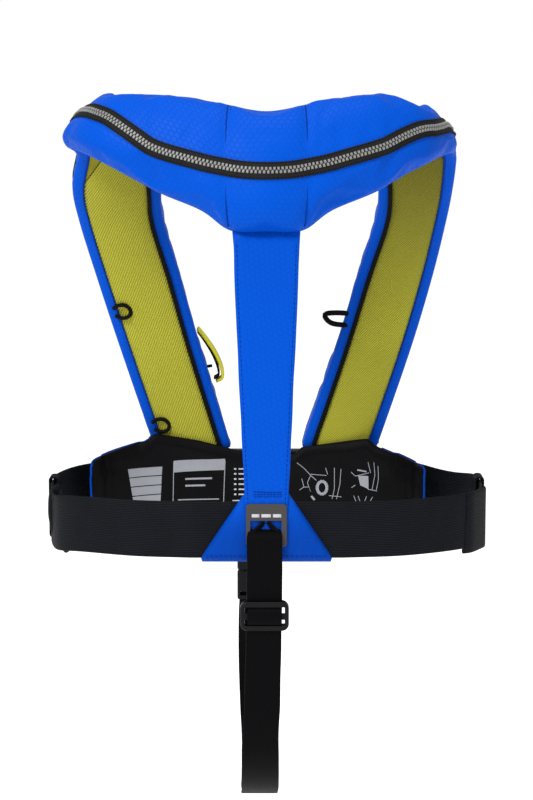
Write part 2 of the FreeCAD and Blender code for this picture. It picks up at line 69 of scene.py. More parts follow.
# The padded tube from the middle of the neck down into a front panel.
# Each row: neck-side edge, outer edge, depth, fullness, zip angle.
HALF_TUBE = [
    ((0, 14, 41.5), (0, -16, -49.5), 30, 2.3, 84),
    ((28, 19, 46.5), (28, -11, -49), 29, 2.3, 85),
    ((50, 25, 50), (50, -7, -34), 28, 2.3, 77),
    ((84, 33, 54.5), (84, 5, -20), 26, 2.3, 79),
    ((114, 48, 47), (113, 22, -3.5), 22, 2.4, 92),
    ((114, 78, 41), (142, 54, 7.5), 19, 2.5, 79),
    ((90.5, 90, 16), (154.5, 84, 5.5), 27, 2.8, 52),
    ((92, 107, -22), (159, 107, -22), 32, 3.4, 38),
    ((90.5, 125, -50), (155.5, 125, -50), 35, 3.8, 34),
    ((77.5, 145, -98), (143.5, 145, -98), 36, 4.0, 32),
    ((59.5, 162, -161), (125.5, 162, -161), 36, 4.0, 32),
    ((34, 180, -240), (101, 180, -240), 34, 4.0, 32),
    ((30.5, 182, -251), (97, 182, -251), 30, 4.0, 32),
]
# How much further out each lobe's neck-side and outer edges are than those rows say.
LOBE_LEFT = {7: (-4, 2.5), 8: (-4, 2.5), 9: (-4, 2), 10: (-2.5, 1.6), 11: (0, 1.5)}
LOBE_RIGHT = {7: (1, -4), 8: (1, -4), 9: (0, -1.5)}
# The left shoulder's own rows: neck-side edge, outer edge, depth.
LEFT_SHOULDER = {4: ((-110, 48, 51.5), (-129.5, 22, 3), 24),
                 5: ((-110, 78, 44.5), (-156.5, 52, 12.5), 21)}
SHOULDER_ROW = 6


def srgb(red, green, blue):
    """A linear colour from 0-255 display values."""
    values = [v / 255 for v in (red, green, blue)]
    return tuple(v / 12.92 if v <= 0.04045 else ((v + 0.055) / 1.055) ** 2.4 for v in values) + (1.0,)


def scaled(colour, factor, lift=0.0):
    """A linear colour made lighter or darker."""
    return tuple(min(1.0, c * factor + lift) for c in colour[:3]) + (1.0,)


# ---- materials -----------------------------------------------------------------------------
class Paint:
    """A material being built: short names for the nodes that it needs."""

    def __init__(self, name, colour, roughness, metallic=0.0, sheen=0.0, specular=0.5):
        self.material = bpy.data.materials.new(name)
        self.material.use_nodes = True
        self.tree = self.material.node_tree
        self.shader = self.tree.nodes["Principled BSDF"]
        settings = {"Base Color": colour, "Roughness": roughness, "Metallic": metallic,
                    "Sheen Weight": sheen, "Specular IOR Level": specular}
        for socket, value in settings.items():
            self.shader.inputs[socket].default_value = value
        self.colour = colour
        self.height = None

    def node(self, kind, **settings):
        made = self.tree.nodes.new(kind)
        for key, value in settings.items():
            setattr(made, key, value)
        return made

    def feed(self, socket, value):
        if isinstance(value, bpy.types.NodeSocket):
            self.tree.links.new(value, socket)
        else:
            socket.default_value = value

    def maths(self, operation, *values):
        made = self.node("ShaderNodeMath", operation=operation)
        for socket, value in zip(made.inputs, values):
            self.feed(socket, value)
        return made.outputs[0]

    def vector(self, operation, *values):
        made = self.node("ShaderNodeVectorMath", operation=operation)
        for socket, value in zip(made.inputs, values):
            self.feed(socket, value)
        return made.outputs["Value"] if operation == "DOT_PRODUCT" else made.outputs["Vector"]

    def uv(self):
        """Distances over the cloth, in metres."""
        return self.node("ShaderNodeUVMap").outputs[0]

    def place(self):
        return self.node("ShaderNodeTexCoord").outputs["Object"]

    def split(self, vector):
        made = self.node("ShaderNodeSeparateXYZ")
        self.feed(made.inputs[0], vector)
        return made.outputs

    def noise(self, scale, detail=3.0):
        made = self.node("ShaderNodeTexNoise")
        self.feed(made.inputs["Vector"], self.place())
        made.inputs["Scale"].default_value = scale
        made.inputs["Detail"].default_value = detail
        return made.outputs["Fac"]

    def waves(self, distance, pitch):
        """0 to 1 and back, once every pitch."""
        turns = self.maths("MULTIPLY", distance, 2 * math.pi / pitch)
        return self.maths("MULTIPLY_ADD", self.maths("SINE", turns), 0.5, 0.5)

    def weave(self, first, second, pitch):
        """Two sets of threads that cross, a pitch apart."""
        return self.maths("MULTIPLY", self.waves(first, pitch), self.waves(second, pitch))

    def ramp(self, value, low, high):
        """0 at low and 1 at high, with soft ends."""
        made = self.node("ShaderNodeMapRange", interpolation_type="SMOOTHSTEP")
        self.feed(made.inputs["Value"], value)
        made.inputs["From Min"].default_value = low
        made.inputs["From Max"].default_value = high
        return made.outputs[0]

    def tint(self, value, colour, share):
        """Mixes another colour in where value is high."""
        mix = self.node("ShaderNodeMix", data_type="RGBA")
        base = self.shader.inputs["Base Color"]
        before = base.links[0].from_socket if base.links else self.colour
        self.feed(mix.inputs["Factor"], self.maths("MULTIPLY", value, share))
        self.feed(mix.inputs["A"], before)
        mix.inputs["B"].default_value = colour
        self.tree.links.new(mix.outputs["Result"], base)

    def bump(self, value, distance, strength):
        made = self.node("ShaderNodeBump")
        made.inputs["Distance"].default_value = distance
        made.inputs["Strength"].default_value = strength
        self.feed(made.inputs["Height"], value)
        if self.height:
            self.tree.links.new(self.height, made.inputs["Normal"])
        self.height = made.outputs["Normal"]
        self.tree.links.new(self.height, self.shader.inputs["Normal"])

    def rough(self, value, low, high):
        """Roughness low where value is 0 and high where it is 1."""
        made = self.node("ShaderNodeMapRange")
        self.feed(made.inputs["Value"], value)
        made.inputs["To Min"].default_value = low
        made.inputs["To Max"].default_value = high
        self.tree.links.new(made.outputs[0], self.shader.inputs["Roughness"])


def honeycomb(paint, cell):
    """0 on the lines between hexagonal cells, 0.5 in the middle of a cell."""
    across = paint.vector("MULTIPLY", paint.uv(), (1 / cell, 1 / cell, 0))
    half = (0.5, 0.8660254, 1.0)
    low = (-0.5, -0.8660254, -1.0)
    first = paint.vector("WRAP", across, half, low)
    second = paint.vector("WRAP", paint.vector("SUBTRACT", across, (0.5, 0.8660254, 0)), half, low)
    nearer = paint.maths("LESS_THAN", paint.vector("DOT_PRODUCT", first, first),
                         paint.vector("DOT_PRODUCT", second, second))
    pick = paint.node("ShaderNodeMix", data_type="VECTOR")
    paint.feed(pick.inputs["Factor"], nearer)
    paint.feed(pick.inputs[4], second)
    paint.feed(pick.inputs[5], first)
    spot = paint.vector("ABSOLUTE", pick.outputs[1])
    slanted = paint.vector("DOT_PRODUCT", spot, (0.5, 0.8660254, 0))
    return paint.maths("SUBTRACT", 0.5, paint.maths("MAXIMUM", slanted, paint.split(spot)[0]))


def blue_fabric():
    """Woven polyester embossed with small hexagons, with painted shade on the sleeve at the belt."""
    paint = Paint("honeycomb_blue_fabric", srgb(0, 67, 173), 0.5, sheen=0.01, specular=0.035)
    paint.shader.inputs["Sheen Roughness"].default_value = 0.4
    paint.shader.inputs["Sheen Tint"].default_value = (0.35, 0.55, 1.0, 1.0)
    cells = honeycomb(paint, 4.6 * MM)
    line = paint.ramp(cells, 0.0, 0.13)
    paint.tint(paint.maths("SUBTRACT", 1.0, line), srgb(0, 56, 158), 0.45)
    paint.tint(paint.noise(9.0, 4.0), srgb(0, 80, 188), 0.30)
    # Painted shade: the blue cloth darkens from 0.25 m to 0.29 m below the origin, which is the sleeve at the
    # belt.
    paint.tint(paint.ramp(paint.split(paint.place())[2], -0.25, -0.29), srgb(0, 40, 112), 0.5)
    paint.rough(line, 0.55, 0.42)
    u, v, _ = paint.split(paint.uv())
    paint.bump(paint.noise(38.0, 3.0), 2.0 * MM, 0.4)
    paint.bump(line, 0.2 * MM, 0.6)
    paint.bump(paint.weave(u, v, 0.9 * MM), 0.05 * MM, 0.5)
    return paint.material


def yellow_mesh():
    """Spacer mesh: fine slanting ribs of small knots, with painted shade towards the right shoulder."""
    paint = Paint("yellow_spacer_mesh", srgb(176, 174, 56), 0.85, sheen=0.05, specular=0.1)
    u, v, _ = paint.split(paint.uv())
    slant = paint.maths("ADD", paint.maths("MULTIPLY", u, 0.55), paint.maths("MULTIPLY", v, 0.9))
    ribs = paint.waves(slant, 1.9 * MM)
    knots = paint.waves(paint.maths("SUBTRACT", paint.maths("MULTIPLY", u, 0.9),
                                    paint.maths("MULTIPLY", v, 0.55)), 1.7 * MM)
    cloth = paint.maths("MULTIPLY", ribs, paint.maths("MULTIPLY_ADD", knots, 0.4, 0.6))
    paint.tint(paint.ramp(cloth, 0.5, 0.05), srgb(112, 110, 30), 0.75)
    paint.tint(paint.noise(22.0, 3.0), srgb(140, 136, 40), 0.5)
    x, _, z = paint.split(paint.place())
    # Painted shade: the yellow darkens towards the top and towards the right, most at the right shoulder.
    shade = paint.maths("MULTIPLY", paint.ramp(z, -0.17, 0.03), paint.ramp(x, -0.25, 0.12))
    paint.tint(shade, srgb(72, 66, 18), 0.85)
    paint.bump(paint.noise(40.0, 2.0), 1.0 * MM, 0.3)
    paint.bump(cloth, 0.5 * MM, 0.9)
    return paint.material


def plain_yellow():
    """The plain woven corner patch of the lining."""
    paint = Paint("plain_yellow_cloth", srgb(124, 118, 24), 0.8, specular=0.15)
    u, v, _ = paint.split(paint.uv())
    paint.tint(paint.noise(50.0, 3.0), srgb(104, 98, 18), 0.5)
    paint.bump(paint.weave(u, v, 0.7 * MM), 0.08 * MM, 0.6)
    return paint.material


def webbing_material(name, colour, rib, raised):
    """Webbing: warp ribs along its length, crossed by finer picks."""
    paint = Paint(name, srgb(*colour), 0.55, specular=0.04)
    u, v, _ = paint.split(paint.uv())
    ribs = paint.waves(v, rib * MM)
    picks = paint.waves(u, 1.5 * MM)
    cloth = paint.maths("MULTIPLY", paint.maths("MULTIPLY_ADD", picks, 0.45, 0.55), ribs)
    paint.tint(cloth, srgb(*raised), 0.6)
    paint.tint(paint.noise(60.0, 3.0), srgb(5, 5, 7), 0.4)
    paint.bump(paint.noise(35.0, 2.0), 0.8 * MM, 0.25)
    paint.bump(cloth, 0.28 * MM, 0.9)
    return paint.material


def black_panel_fabric():
    """Padded nylon with a fine weave and broad soft creases."""
    paint = Paint("black_panel_fabric", srgb(5, 5, 6), 0.5, specular=0.05)
    x, _, z = paint.split(paint.place())
    paint.tint(paint.noise(14.0, 4.0), srgb(17, 17, 19), 0.6)
    paint.bump(paint.noise(26.0, 4.0), 2.6 * MM, 0.6)
    paint.bump(paint.weave(x, z, 0.8 * MM), 0.08 * MM, 0.6)
    return paint.material


def piping_fabric(name, colour):
    """A thin bias tape or thread, twisted round its cord."""
    paint = Paint(name, srgb(*colour), 0.6, specular=0.05)
    x, y, z = paint.split(paint.place())
    twist = paint.waves(paint.maths("ADD", paint.maths("ADD", x, y), z), 1.1 * MM)
    paint.tint(paint.noise(120.0, 2.0), scaled(srgb(*colour), 1.5), 0.5)
    paint.bump(twist, 0.10 * MM, 0.6)
    return paint.material


def coated_film():
    """Thin coated nylon with the creases of its folding."""
    paint = Paint("coated_yellow_film", srgb(205, 180, 28), 0.4, specular=0.4)
    paint.tint(paint.noise(30.0, 3.0), srgb(176, 150, 20), 0.5)
    paint.bump(paint.noise(60.0, 4.0), 1.5 * MM, 0.6)
    return paint.material


def moulded_plastic(name, colour, roughness, specular=0.35):
    """Moulded plastic with a faint grain."""
    paint = Paint(name, srgb(*colour), roughness, specular=specular)
    paint.tint(paint.noise(45.0, 3.0), scaled(srgb(*colour), 1.6, 0.003), 0.4)
    paint.rough(paint.noise(120.0, 2.0), roughness - 0.06, roughness + 0.1)
    paint.bump(paint.noise(1400.0, 3.0), 0.06 * MM, 0.5)
    return paint.material


def steel():
    """Steel with the fine scratches of tumbling."""
    paint = Paint("tumbled_steel", srgb(182, 184, 188), 0.3, metallic=1.0)
    scratches = paint.noise(700.0, 4.0)
    paint.rough(scratches, 0.2, 0.42)
    paint.bump(scratches, 0.02 * MM, 0.3)
    return paint.material


def print_ink(name, colour):
    """Screen-printed ink, a little uneven."""
    paint = Paint(name, srgb(*colour), 0.5, specular=0.25)
    paint.tint(paint.noise(160.0, 3.0), scaled(srgb(*colour), 0.7), 0.5)
    paint.bump(paint.noise(500.0, 2.0), 0.05 * MM, 0.4)
    return paint.material


blue = blue_fabric()
yellow = yellow_mesh()
yellow_patch = plain_yellow()
webbing = webbing_material("black_webbing", (6, 6, 8), 1.35, (40, 43, 51))
strap_webbing = webbing_material("black_strap_webbing", (2, 2, 3), 1.35, (9, 9, 11))
tape = webbing_material("zip_tape", (26, 26, 26), 0.9, (52, 51, 49))
fine_webbing = webbing_material("fine_black_webbing", (6, 6, 8), 0.8, (24, 25, 28))
panel_cloth = black_panel_fabric()
black_cloth = piping_fabric("black_bias_tape", (11, 11, 13))
blue_piping = piping_fabric("blue_piping", (0, 58, 150))
blue_thread = piping_fabric("blue_thread", (0, 42, 120))
black_thread = piping_fabric("black_thread", (9, 9, 11))
film = coated_film()
teeth_plastic = moulded_plastic("grey_acetal", (112, 112, 110), 0.4, 0.3)
dark_tooth_plastic = moulded_plastic("dark_grey_acetal", (34, 34, 34), 0.4, 0.3)
black_plastic = moulded_plastic("black_nylon", (7, 7, 9), 0.38, 0.12)
grey_plastic = moulded_plastic("dark_grey_nylon", (56, 53, 53), 0.5, 0.15)
yellow_plastic = moulded_plastic("yellow_handle", (182, 176, 20), 0.45)
steel_metal = steel()
silver_ink = print_ink("silver_print", (140, 142, 148))
pale_ink = print_ink("pale_print", (176, 178, 182))


# ---- mesh helpers --------------------------------------------------------------------------
def unit(vectors):
    return vectors / np.maximum(np.linalg.norm(vectors, axis=-1, keepdims=True), 1e-12)


def smooth_line(points, step, closed=False):
    """A Catmull-Rom line through points, sampled about every step."""
    points = np.asarray(points, float)
    count = len(points)
    out = []
    for i in range(count if closed else count - 1):
        if closed:
            a, b, c, d = (points[(i + k) % count] for k in (-1, 0, 1, 2))
        else:
            b, c = points[i], points[i + 1]
            a = points[i - 1] if i else 2 * b - c
            d = points[i + 2] if i + 2 < count else 2 * c - b
        pieces = max(1, int(round(np.linalg.norm(c[:3] - b[:3]) / step)))
        for t in np.arange(pieces) / pieces:
            out.append(0.5 * (2 * b + (c - a) * t + (2 * a - 5 * b + 4 * c - d) * t ** 2
                              + (3 * b - a - 3 * c + d) * t ** 3))
    if not closed:
        out.append(points[-1])
    return np.array(out)


def lengths(line):
    """The distance from a line's start to each of its points."""
    return np.concatenate([[0], np.cumsum(np.linalg.norm(np.diff(line, axis=0), axis=1))])


def tangents(line, closed=False):
    if closed:
        return unit(np.roll(line, -1, axis=0) - np.roll(line, 1, axis=0))
    return unit(np.gradient(line, axis=0))


def at_length(values, run, distance):
    """What a line's rows come to at a distance along it."""
    return np.array([np.interp(distance, run, values[:, k]) for k in range(3)])


def new_object(name, verts, faces, material, uvs=None, smooth=True):
    """A mesh object. verts are in millimetres; uvs, one per corner, are in metres."""
    mesh = bpy.data.meshes.new(name)
    mesh.from_pydata([tuple(v) for v in np.asarray(verts) * MM], [], faces)
    mesh.polygons.foreach_set("use_smooth", [smooth] * len(mesh.polygons))
    if uvs is not None:
        layer = mesh.uv_layers.new(name="UVMap")
        layer.data.foreach_set("uv", np.asarray(uvs, float).ravel())
    mesh.materials.append(material)
    mesh.update()
    made = bpy.data.objects.new(name, mesh)
    bpy.context.scene.collection.objects.link(made)
    return made


def grid_faces(rows, columns, wrap):
    """Four-sided faces between the rows and columns of a grid of points."""
    faces = []
    for i in range(rows - 1):
        for k in range(columns if wrap else columns - 1):
            m = (k + 1) % columns
            faces.append((i * columns + k, i * columns + m, (i + 1) * columns + m, (i + 1) * columns + k))
    return faces


def grid_uvs(faces, columns, along, around, total):
    """Corner coordinates: distance along the rows and around the columns, without a jump at the wrap."""
    uvs = []
    for face in faces:
        ks = [f % columns for f in face]
        wraps = max(ks) - min(ks) > 1
        for f, k in zip(face, ks):
            i = f // columns
            v = around[i, k] if not (wraps and k == 0) else total[i]
            uvs.append((along[i] * MM, v * MM))
    return uvs


def grid_object(name, points, material, wrap=True, caps=True, flip=False):
    """A surface from points[row, column]; wrap closes each row into a ring, caps closes the ends."""
    rows, columns, _ = points.shape
    faces = grid_faces(rows, columns, wrap)
    along = lengths(points.mean(axis=1))
    steps = np.linalg.norm(np.roll(points, -1, axis=1) - points, axis=2)
    around = np.concatenate([np.zeros((rows, 1)), np.cumsum(steps, axis=1)[:, :-1]], axis=1)
    uvs = grid_uvs(faces, columns, along, around, steps.sum(axis=1))
    if wrap and caps:
        for row, order in ((0, 1), (rows - 1, -1)):
            ring = [row * columns + k for k in range(columns)][::-order]
            faces.append(tuple(ring))
            flat = points[row] - points[row].mean(axis=0)
            first = unit(flat[0])
            second = unit(np.cross(np.cross(flat[0], flat[columns // 4]), flat[0]))
            for f in ring:
                spot = flat[f % columns]
                uvs.append((spot @ first * MM, spot @ second * MM))
    if flip:
        faces = [f[::-1] for f in faces]
        sizes = np.cumsum([0] + [len(f) for f in faces])
        uvs = [uv for a, b in zip(sizes[:-1], sizes[1:]) for uv in uvs[a:b][::-1]]
    return new_object(name, points.reshape(-1, 3), faces, material, uvs)


def stadium(width, thickness):
    """The section of a strap: a flat strip with rounded edges, as (across, out) points."""
    r = thickness / 2
    flat = width / 2 - r
    section = []
    for way in (1, -1):
        section += [(a, way * r) for a in np.linspace(way * flat, -way * flat, 9)]
        section += [(-way * (flat + r * math.sin(t)), way * r * math.cos(t))
                    for t in np.linspace(0, math.pi, 5)[1:-1]]
    return np.array(section)


def ribbon(name, line, across, widths, thickness, material, wobble=0.0, seed=0.0, closed=False):
    """A strap along a line of points; across is the direction of its width at each point."""
    line = np.asarray(line, float)
    across = np.broadcast_to(np.asarray(across, float), line.shape)
    along = tangents(line, closed)
    across = unit(across - along * (across * along).sum(axis=1, keepdims=True))
    out = np.cross(across, along)
    widths = np.broadcast_to(np.asarray(widths, float), (len(line),))
    points = np.empty((len(line), len(stadium(1, 0.5)), 3))
    for i, middle in enumerate(line):
        sway = wobble * noise.noise(Vector((i * 0.11, seed, 0.3)))
        section = stadium(widths[i], thickness)
        points[i] = middle + across[i] * (section[:, :1] + sway) + out[i] * section[:, 1:]
    if closed:
        points = np.concatenate([points, points[:1]])
    return grid_object(name, points, material, caps=not closed)


def cord_mesh(name, line, radius, material, sides=8):
    """A round cord or bead of piping along a line."""
    line = np.asarray(line, float)
    along = tangents(line)
    first = unit(np.cross(along, (0.3, 0.5, 0.8)))
    second = np.cross(along, first)
    turns = np.linspace(0, 2 * math.pi, sides, endpoint=False)
    radii = np.broadcast_to(np.asarray(radius, float), (len(line),))[:, None, None]
    points = line[:, None] + radii * (first[:, None] * np.cos(turns)[None, :, None]
                                      + second[:, None] * np.sin(turns)[None, :, None])
    return grid_object(name, points, material)


def keep(piece, slot, *nodes, body=JACKET):
    """Ties a piece to its body and hides the CAD nodes that it stands for; the slot argument is not used."""
    if body:
        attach(piece, body)
    if nodes:
        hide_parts(*nodes)


def sew(name, line, thread, slot, stitch=2.6, space=1.1, radius=0.28):
    """A row of thread on the jacket: one small rounded bar for each stitch along a line."""
    line = np.asarray(line, float)
    run = lengths(line)
    verts, faces = [], []
    start = space
    while start + stitch < run[-1]:
        ends = [at_length(line, run, s) for s in (start, start + stitch)]
        way = unit(ends[1] - ends[0])
        first = unit(np.cross(way, (0.31, 0.52, 0.79)))
        second = np.cross(way, first)
        base = len(verts)
        for share, size in ((0.0, 0.45), (0.18, 1.0), (0.82, 1.0), (1.0, 0.45)):
            spot = ends[0] + (ends[1] - ends[0]) * share
            for k in range(5):
                turn = 2 * math.pi * k / 5
                verts.append(spot + radius * size * (first * math.cos(turn) + second * math.sin(turn)))
        bar = grid_faces(4, 5, True) + [(4, 3, 2, 1, 0), (15, 16, 17, 18, 19)]
        faces += [tuple(base + f for f in face) for face in bar]
        start += stitch + space
    keep(new_object(name, verts, faces, thread), slot)


# ---- the padded tube -----------------------------------------------------------------------
def tube_rows():
    """The stations from the left panel up, round the neck and down to the right panel."""
    rows = []
    for side in (-1, 1):
        half = []
        for i, (inner, outer, depth, fullness, angle) in enumerate(HALF_TUBE):
            if side < 0 and i in LEFT_SHOULDER:
                inner, outer, depth = LEFT_SHOULDER[i]
            near, far = (LOBE_LEFT if side < 0 else LOBE_RIGHT).get(i, (0, 0))
            inner = (side * (abs(inner[0]) + near), *inner[1:])
            outer = (side * (abs(outer[0]) + far), *outer[1:])
            half.append([*inner, *outer, depth, fullness, angle])
        rows += half[:0:-1] if side < 0 else half
    return np.array(rows, float)


class Tube:
    """Cross-sections of the tube: u runs from the neck side out, n away from the body."""

    def __init__(self, step):
        rows = tube_rows()
        middles = (rows[:, :3] + rows[:, 3:6]) / 2
        data = smooth_line(np.hstack([middles, rows]), step)
        self.middle = data[:, :3]
        self.inner, self.outer = data[:, 3:6], data[:, 6:9]
        self.depth, self.fullness, self.angle = data[:, 9], data[:, 10], data[:, 11]
        self.width = np.linalg.norm(self.outer - self.inner, axis=1)
        self.u = unit(self.outer - self.inner)
        self.n = unit(np.cross(self.u, tangents(self.middle)))
        self.run = lengths(self.middle)
        self.count = len(self.run)
        neck = len(HALF_TUBE) - 1
        self.shoulders = [self.nearest(middles[k]) for k in (neck - SHOULDER_ROW, neck + SHOULDER_ROW)]

    def nearest(self, point):
        return int(np.argmin(np.linalg.norm(self.middle - point, axis=1)))

    def at(self, u, n):
        """Points at a distance u across and n out of the body side, one for each section."""
        u, n = (np.broadcast_to(np.asarray(v, float), (self.count,)) for v in (u, n))
        return self.inner + self.u * u[:, None] + self.n * n[:, None]

    def dome(self, angle, lift=0.0):
        """Points on the cover, from 0 degrees at the outer edge to 180 at the neck side."""
        angle = np.radians(np.broadcast_to(np.asarray(angle, float), (self.count,)))
        c, s = np.cos(angle), np.sin(angle)
        power = 2 / self.fullness
        waist = self.depth * WAIST_SHARE
        u = self.width / 2 + (self.width / 2 + lift) * np.sign(c) * np.abs(c) ** power
        n = waist + (self.depth - waist + lift) * np.abs(s) ** power
        return self.at(u, n)

    def body_side(self, angle):
        """Points round the flat side, from 180 degrees at the neck side to 360."""
        c, s = math.cos(math.radians(angle)), math.sin(math.radians(angle))
        u = self.width / 2 * (1 + math.copysign(abs(c) ** FLATNESS, c))
        n = self.depth * WAIST_SHARE * (1 - abs(s) ** FLATNESS)
        return self.at(u, n)


tube = Tube(RING_STEP)
# Columns of the cover's grid: outside the zip, from the zip to the neck side, and on the body side.
LOWER_SEGMENTS, UPPER_SEGMENTS, BODY_SEGMENTS = 14, 20, 26
CLOTH_FRAMES = 20
MOST_INWARD = 0.4         # how far the cloth may sink below its starting shape


def seam_rows():
    """Rings where panels of the cover are sewn together."""
    rows = [tube.nearest((x, 4, -1)) for x in (-28, 28)]
    rows += tube.shoulders
    rows += [tube.nearest((side * 121, 127, -58)) for side in (-1, 1)]
    rows += [tube.nearest((side * 81, 171, -196)) for side in (-1, 1)]
    return rows


def seam_dip(depth, reach):
    """How far each ring is drawn in by the seams near it."""
    dip = np.zeros(tube.count)
    for row in seam_rows():
        dip = np.maximum(dip, depth * np.exp(-((tube.run - tube.run[row]) / reach) ** 2))
    return dip


def cover_points():
    """The cover's rings, with a column exactly on the zip line."""
    dip = seam_dip(1.8, 5.0)
    columns = []
    for k in range(LOWER_SEGMENTS):
        share = min(1.0, 2.0 * (1 - k / LOWER_SEGMENTS))
        columns.append(tube.dome(tube.angle * k / LOWER_SEGMENTS, -dip * share))
    for k in range(UPPER_SEGMENTS):
        share = min(1.0, 2.5 * k / UPPER_SEGMENTS)
        columns.append(tube.dome(tube.angle + (180 - tube.angle) * k / UPPER_SEGMENTS, -dip * share))
    columns += [tube.body_side(180 + 180 * k / BODY_SEGMENTS) for k in range(BODY_SEGMENTS)]
    return np.stack(columns, axis=1)


def pin_weights(points):
    """1 where the cover is held: the zip, the body side, the ends and the sewn seams; 0 where it is free."""
    rows, columns, _ = points.shape
    weights = np.zeros((rows, columns))
    weights[:, LOWER_SEGMENTS - 2:LOWER_SEGMENTS + 3] = 1
    weights[:, LOWER_SEGMENTS + UPPER_SEGMENTS:] = 1
    weights[:, :1] = 0.6
    weights[:2] = weights[-3:] = 1
    for row in seam_rows():
        weights[row] = 1
    return weights


def simulate_cover(cover, weights, pressure, growth, limit):
    """Lets the cover swell between its seams, as padded fabric does, and keeps the result."""
    group = cover.vertex_groups.new(name="held")
    flat = weights.ravel()
    for value in np.unique(flat):
        group.add([int(i) for i in np.nonzero(flat == value)[0]], float(value), "REPLACE")
    cloth = cover.modifiers.new("cloth", "CLOTH")
    settings = {"vertex_group_mass": "held", "quality": 6, "mass": 0.25, "tension_stiffness": 25,
                "compression_stiffness": 25, "shear_stiffness": 8, "bending_stiffness": 1.2,
                "use_pressure": True, "uniform_pressure_force": pressure, "shrink_min": -growth}
    for key, value in settings.items():
        setattr(cloth.settings, key, value)
    cloth.settings.effector_weights.gravity = 0
    cloth.point_cache.frame_start, cloth.point_cache.frame_end = 1, CLOTH_FRAMES
    rest = np.array([v.co for v in cover.data.vertices])
    for step in range(1, CLOTH_FRAMES + 1):
        bpy.context.scene.frame_set(step)
    shown = cover.evaluated_get(bpy.context.evaluated_depsgraph_get())
    moved = np.array([v.co for v in shown.data.vertices])
    cover.modifiers.remove(cloth)
    bpy.context.scene.frame_set(1)
    shift = moved - rest
    normals = np.array([v.normal for v in cover.data.vertices])
    inward = np.minimum(0, (shift * normals).sum(axis=1, keepdims=True) + MOST_INWARD * MM)
    shift -= normals * inward
    far = np.linalg.norm(shift, axis=1, keepdims=True)
    shift *= np.minimum(1, limit * MM / np.maximum(far, 1e-9))
    cover.data.vertices.foreach_set("co", (rest + shift).ravel())
    cover.data.update()


def make_cover():
    """The cover of collar and lobes, with the sewn yoke seams beside the neck."""
    points = cover_points()
    cover = grid_object("fabric_cover", points, blue)
    simulate_cover(cover, pin_weights(points), 3.0, 0.02, 5.0)
    smooth = cover.modifiers.new("smooth", "SUBSURF")
    smooth.levels = smooth.render_levels = 1
    keep(cover, "cover_fabric", "collar_cover", "left_lobe_cover", "right_lobe_cover")
    for name, row, way in (("left", seam_rows()[0], 1), ("right", seam_rows()[1], -1)):
        for part, low, high in (("lower", 8, tube.angle[row] - 12), ("upper", tube.angle[row] + 12, 165)):
            ring = np.array([tube.dome(angle, -1.1)[row] for angle in np.linspace(low, high, 24)])
            seam = cord_mesh(f"{name}_{part}_yoke_seam", ring, 0.5, blue_thread, sides=6)
            keep(seam, "cover_fabric")
            beside = ring + np.array([2.6 * way, 0, 0]) + tube.n[row] * 0.2
            sew(f"{name}_{part}_yoke_stitches", beside, blue_thread, "cover_fabric")


def make_bladder():
    """The folded bladder: it fills the collar, and is a thin layer in front of the hardware in each lobe."""
    high = tube.middle[:, 2] > -55
    floor = np.where(high, 7.0, 28.0)
    inset = np.where(high, 8.0, 5.0)
    low_angle = np.where(high, 35, 66)
    angles = [low_angle + (180 - 2 * low_angle) * k / 12 for k in range(13)]
    columns = [tube.dome(angle, -inset) for angle in angles]
    for column in (columns[-1], columns[0]):
        across = ((column - tube.inner) * tube.u).sum(axis=1)
        columns.append(tube.at(across, floor))
    points = np.stack(columns, axis=1)[6:-6]
    keep(grid_object("bladder_pack", points, film), "bladder_film", "bladder")


def lining_point(rows, share, lift=0.0):
    """Points on the lining for rows of the tube: share 0 at the neck edge and 1 at the outer edge."""
    low, high = LIP, tube.width[rows] - LIP
    u = low + (high - low) * share
    n = 0.2 - 3.0 * (1 - abs(2 * share - 1) ** 3.0) - lift
    return tube.inner[rows] + tube.u[rows] * np.reshape(u, (-1, 1)) + tube.n[rows] * n


def make_lining():
    """The mesh lining lies on the body side, crowned a little, with a black edge at the neck side and a thin
    dark cord at the outer side: a seam that also stands in as a painted shadow line.
    """
    rows = np.arange(tube.count)
    columns = [lining_point(rows, share) for share in np.linspace(0, 1, 15)]
    columns += [tube.at(LIP + (tube.width - 2 * LIP) * share, 1.5) for share in np.linspace(1, 0, 15)]
    points = np.stack(columns, axis=1)
    left, right = tube.shoulders
    spans = {"left_lobe_lining": (0, left + 1), "neck_lining": (left, right + 1),
             "right_lobe_lining": (right, tube.count)}
    for name, (start, stop) in spans.items():
        lining = grid_object(name + "_mesh", points[start:stop], yellow)
        keep(lining, "mesh_lining", name)
    neck_edge = tube.at(LIP - 0.6, -1.2)
    outer_edge = tube.at(tube.width - LIP + 0.3, -0.4)
    keep(cord_mesh("lining_neck_edge", neck_edge, 1.9, black_cloth), "mesh_lining")
    # A seam cord in dark thread: partly the real seam, partly a painted shadow line along the lining's outer
    # edge.
    keep(cord_mesh("lining_outer_seam_shadow_line", outer_edge, 0.8, blue_thread), "mesh_lining")


def make_corner_patch():
    """A plain triangle of cloth sewn over the mesh at the left shoulder's outer corner."""
    top = tube.shoulders[0] + 1
    rows = np.arange(top - 7, top + 1)
    reach = 0.30 * (rows - rows[0]) / 7
    patch = np.array([[lining_point(np.array([row]), 1 - wide * k / 5, 0.35)[0] for k in range(6)]
                      for row, wide in zip(rows, reach)])
    keep(grid_object("left_corner_patch", patch, yellow_patch, wrap=False), "mesh_lining")
    edge = patch[:, -1] - tube.n[rows] * 0.3
    sew("left_corner_patch_seam", edge, black_thread, "mesh_lining", 2.0, 0.6, 0.3)


# ---- zip -----------------------------------------------------------------------------------
# A tooth's outline as (across the zip, along it), and its height, size along and size across at each level.
TOOTH_PLAN = [(-2.5, -0.95), (-0.6, -0.95), (-0.15, -0.55), (-0.15, 0.55), (-0.6, 0.95), (-2.5, 0.95)]
TOOTH_LEVELS = [(0.6, 1.0, 1.0), (2.1, 1.0, 1.0), (2.5, 0.72, 0.85)]


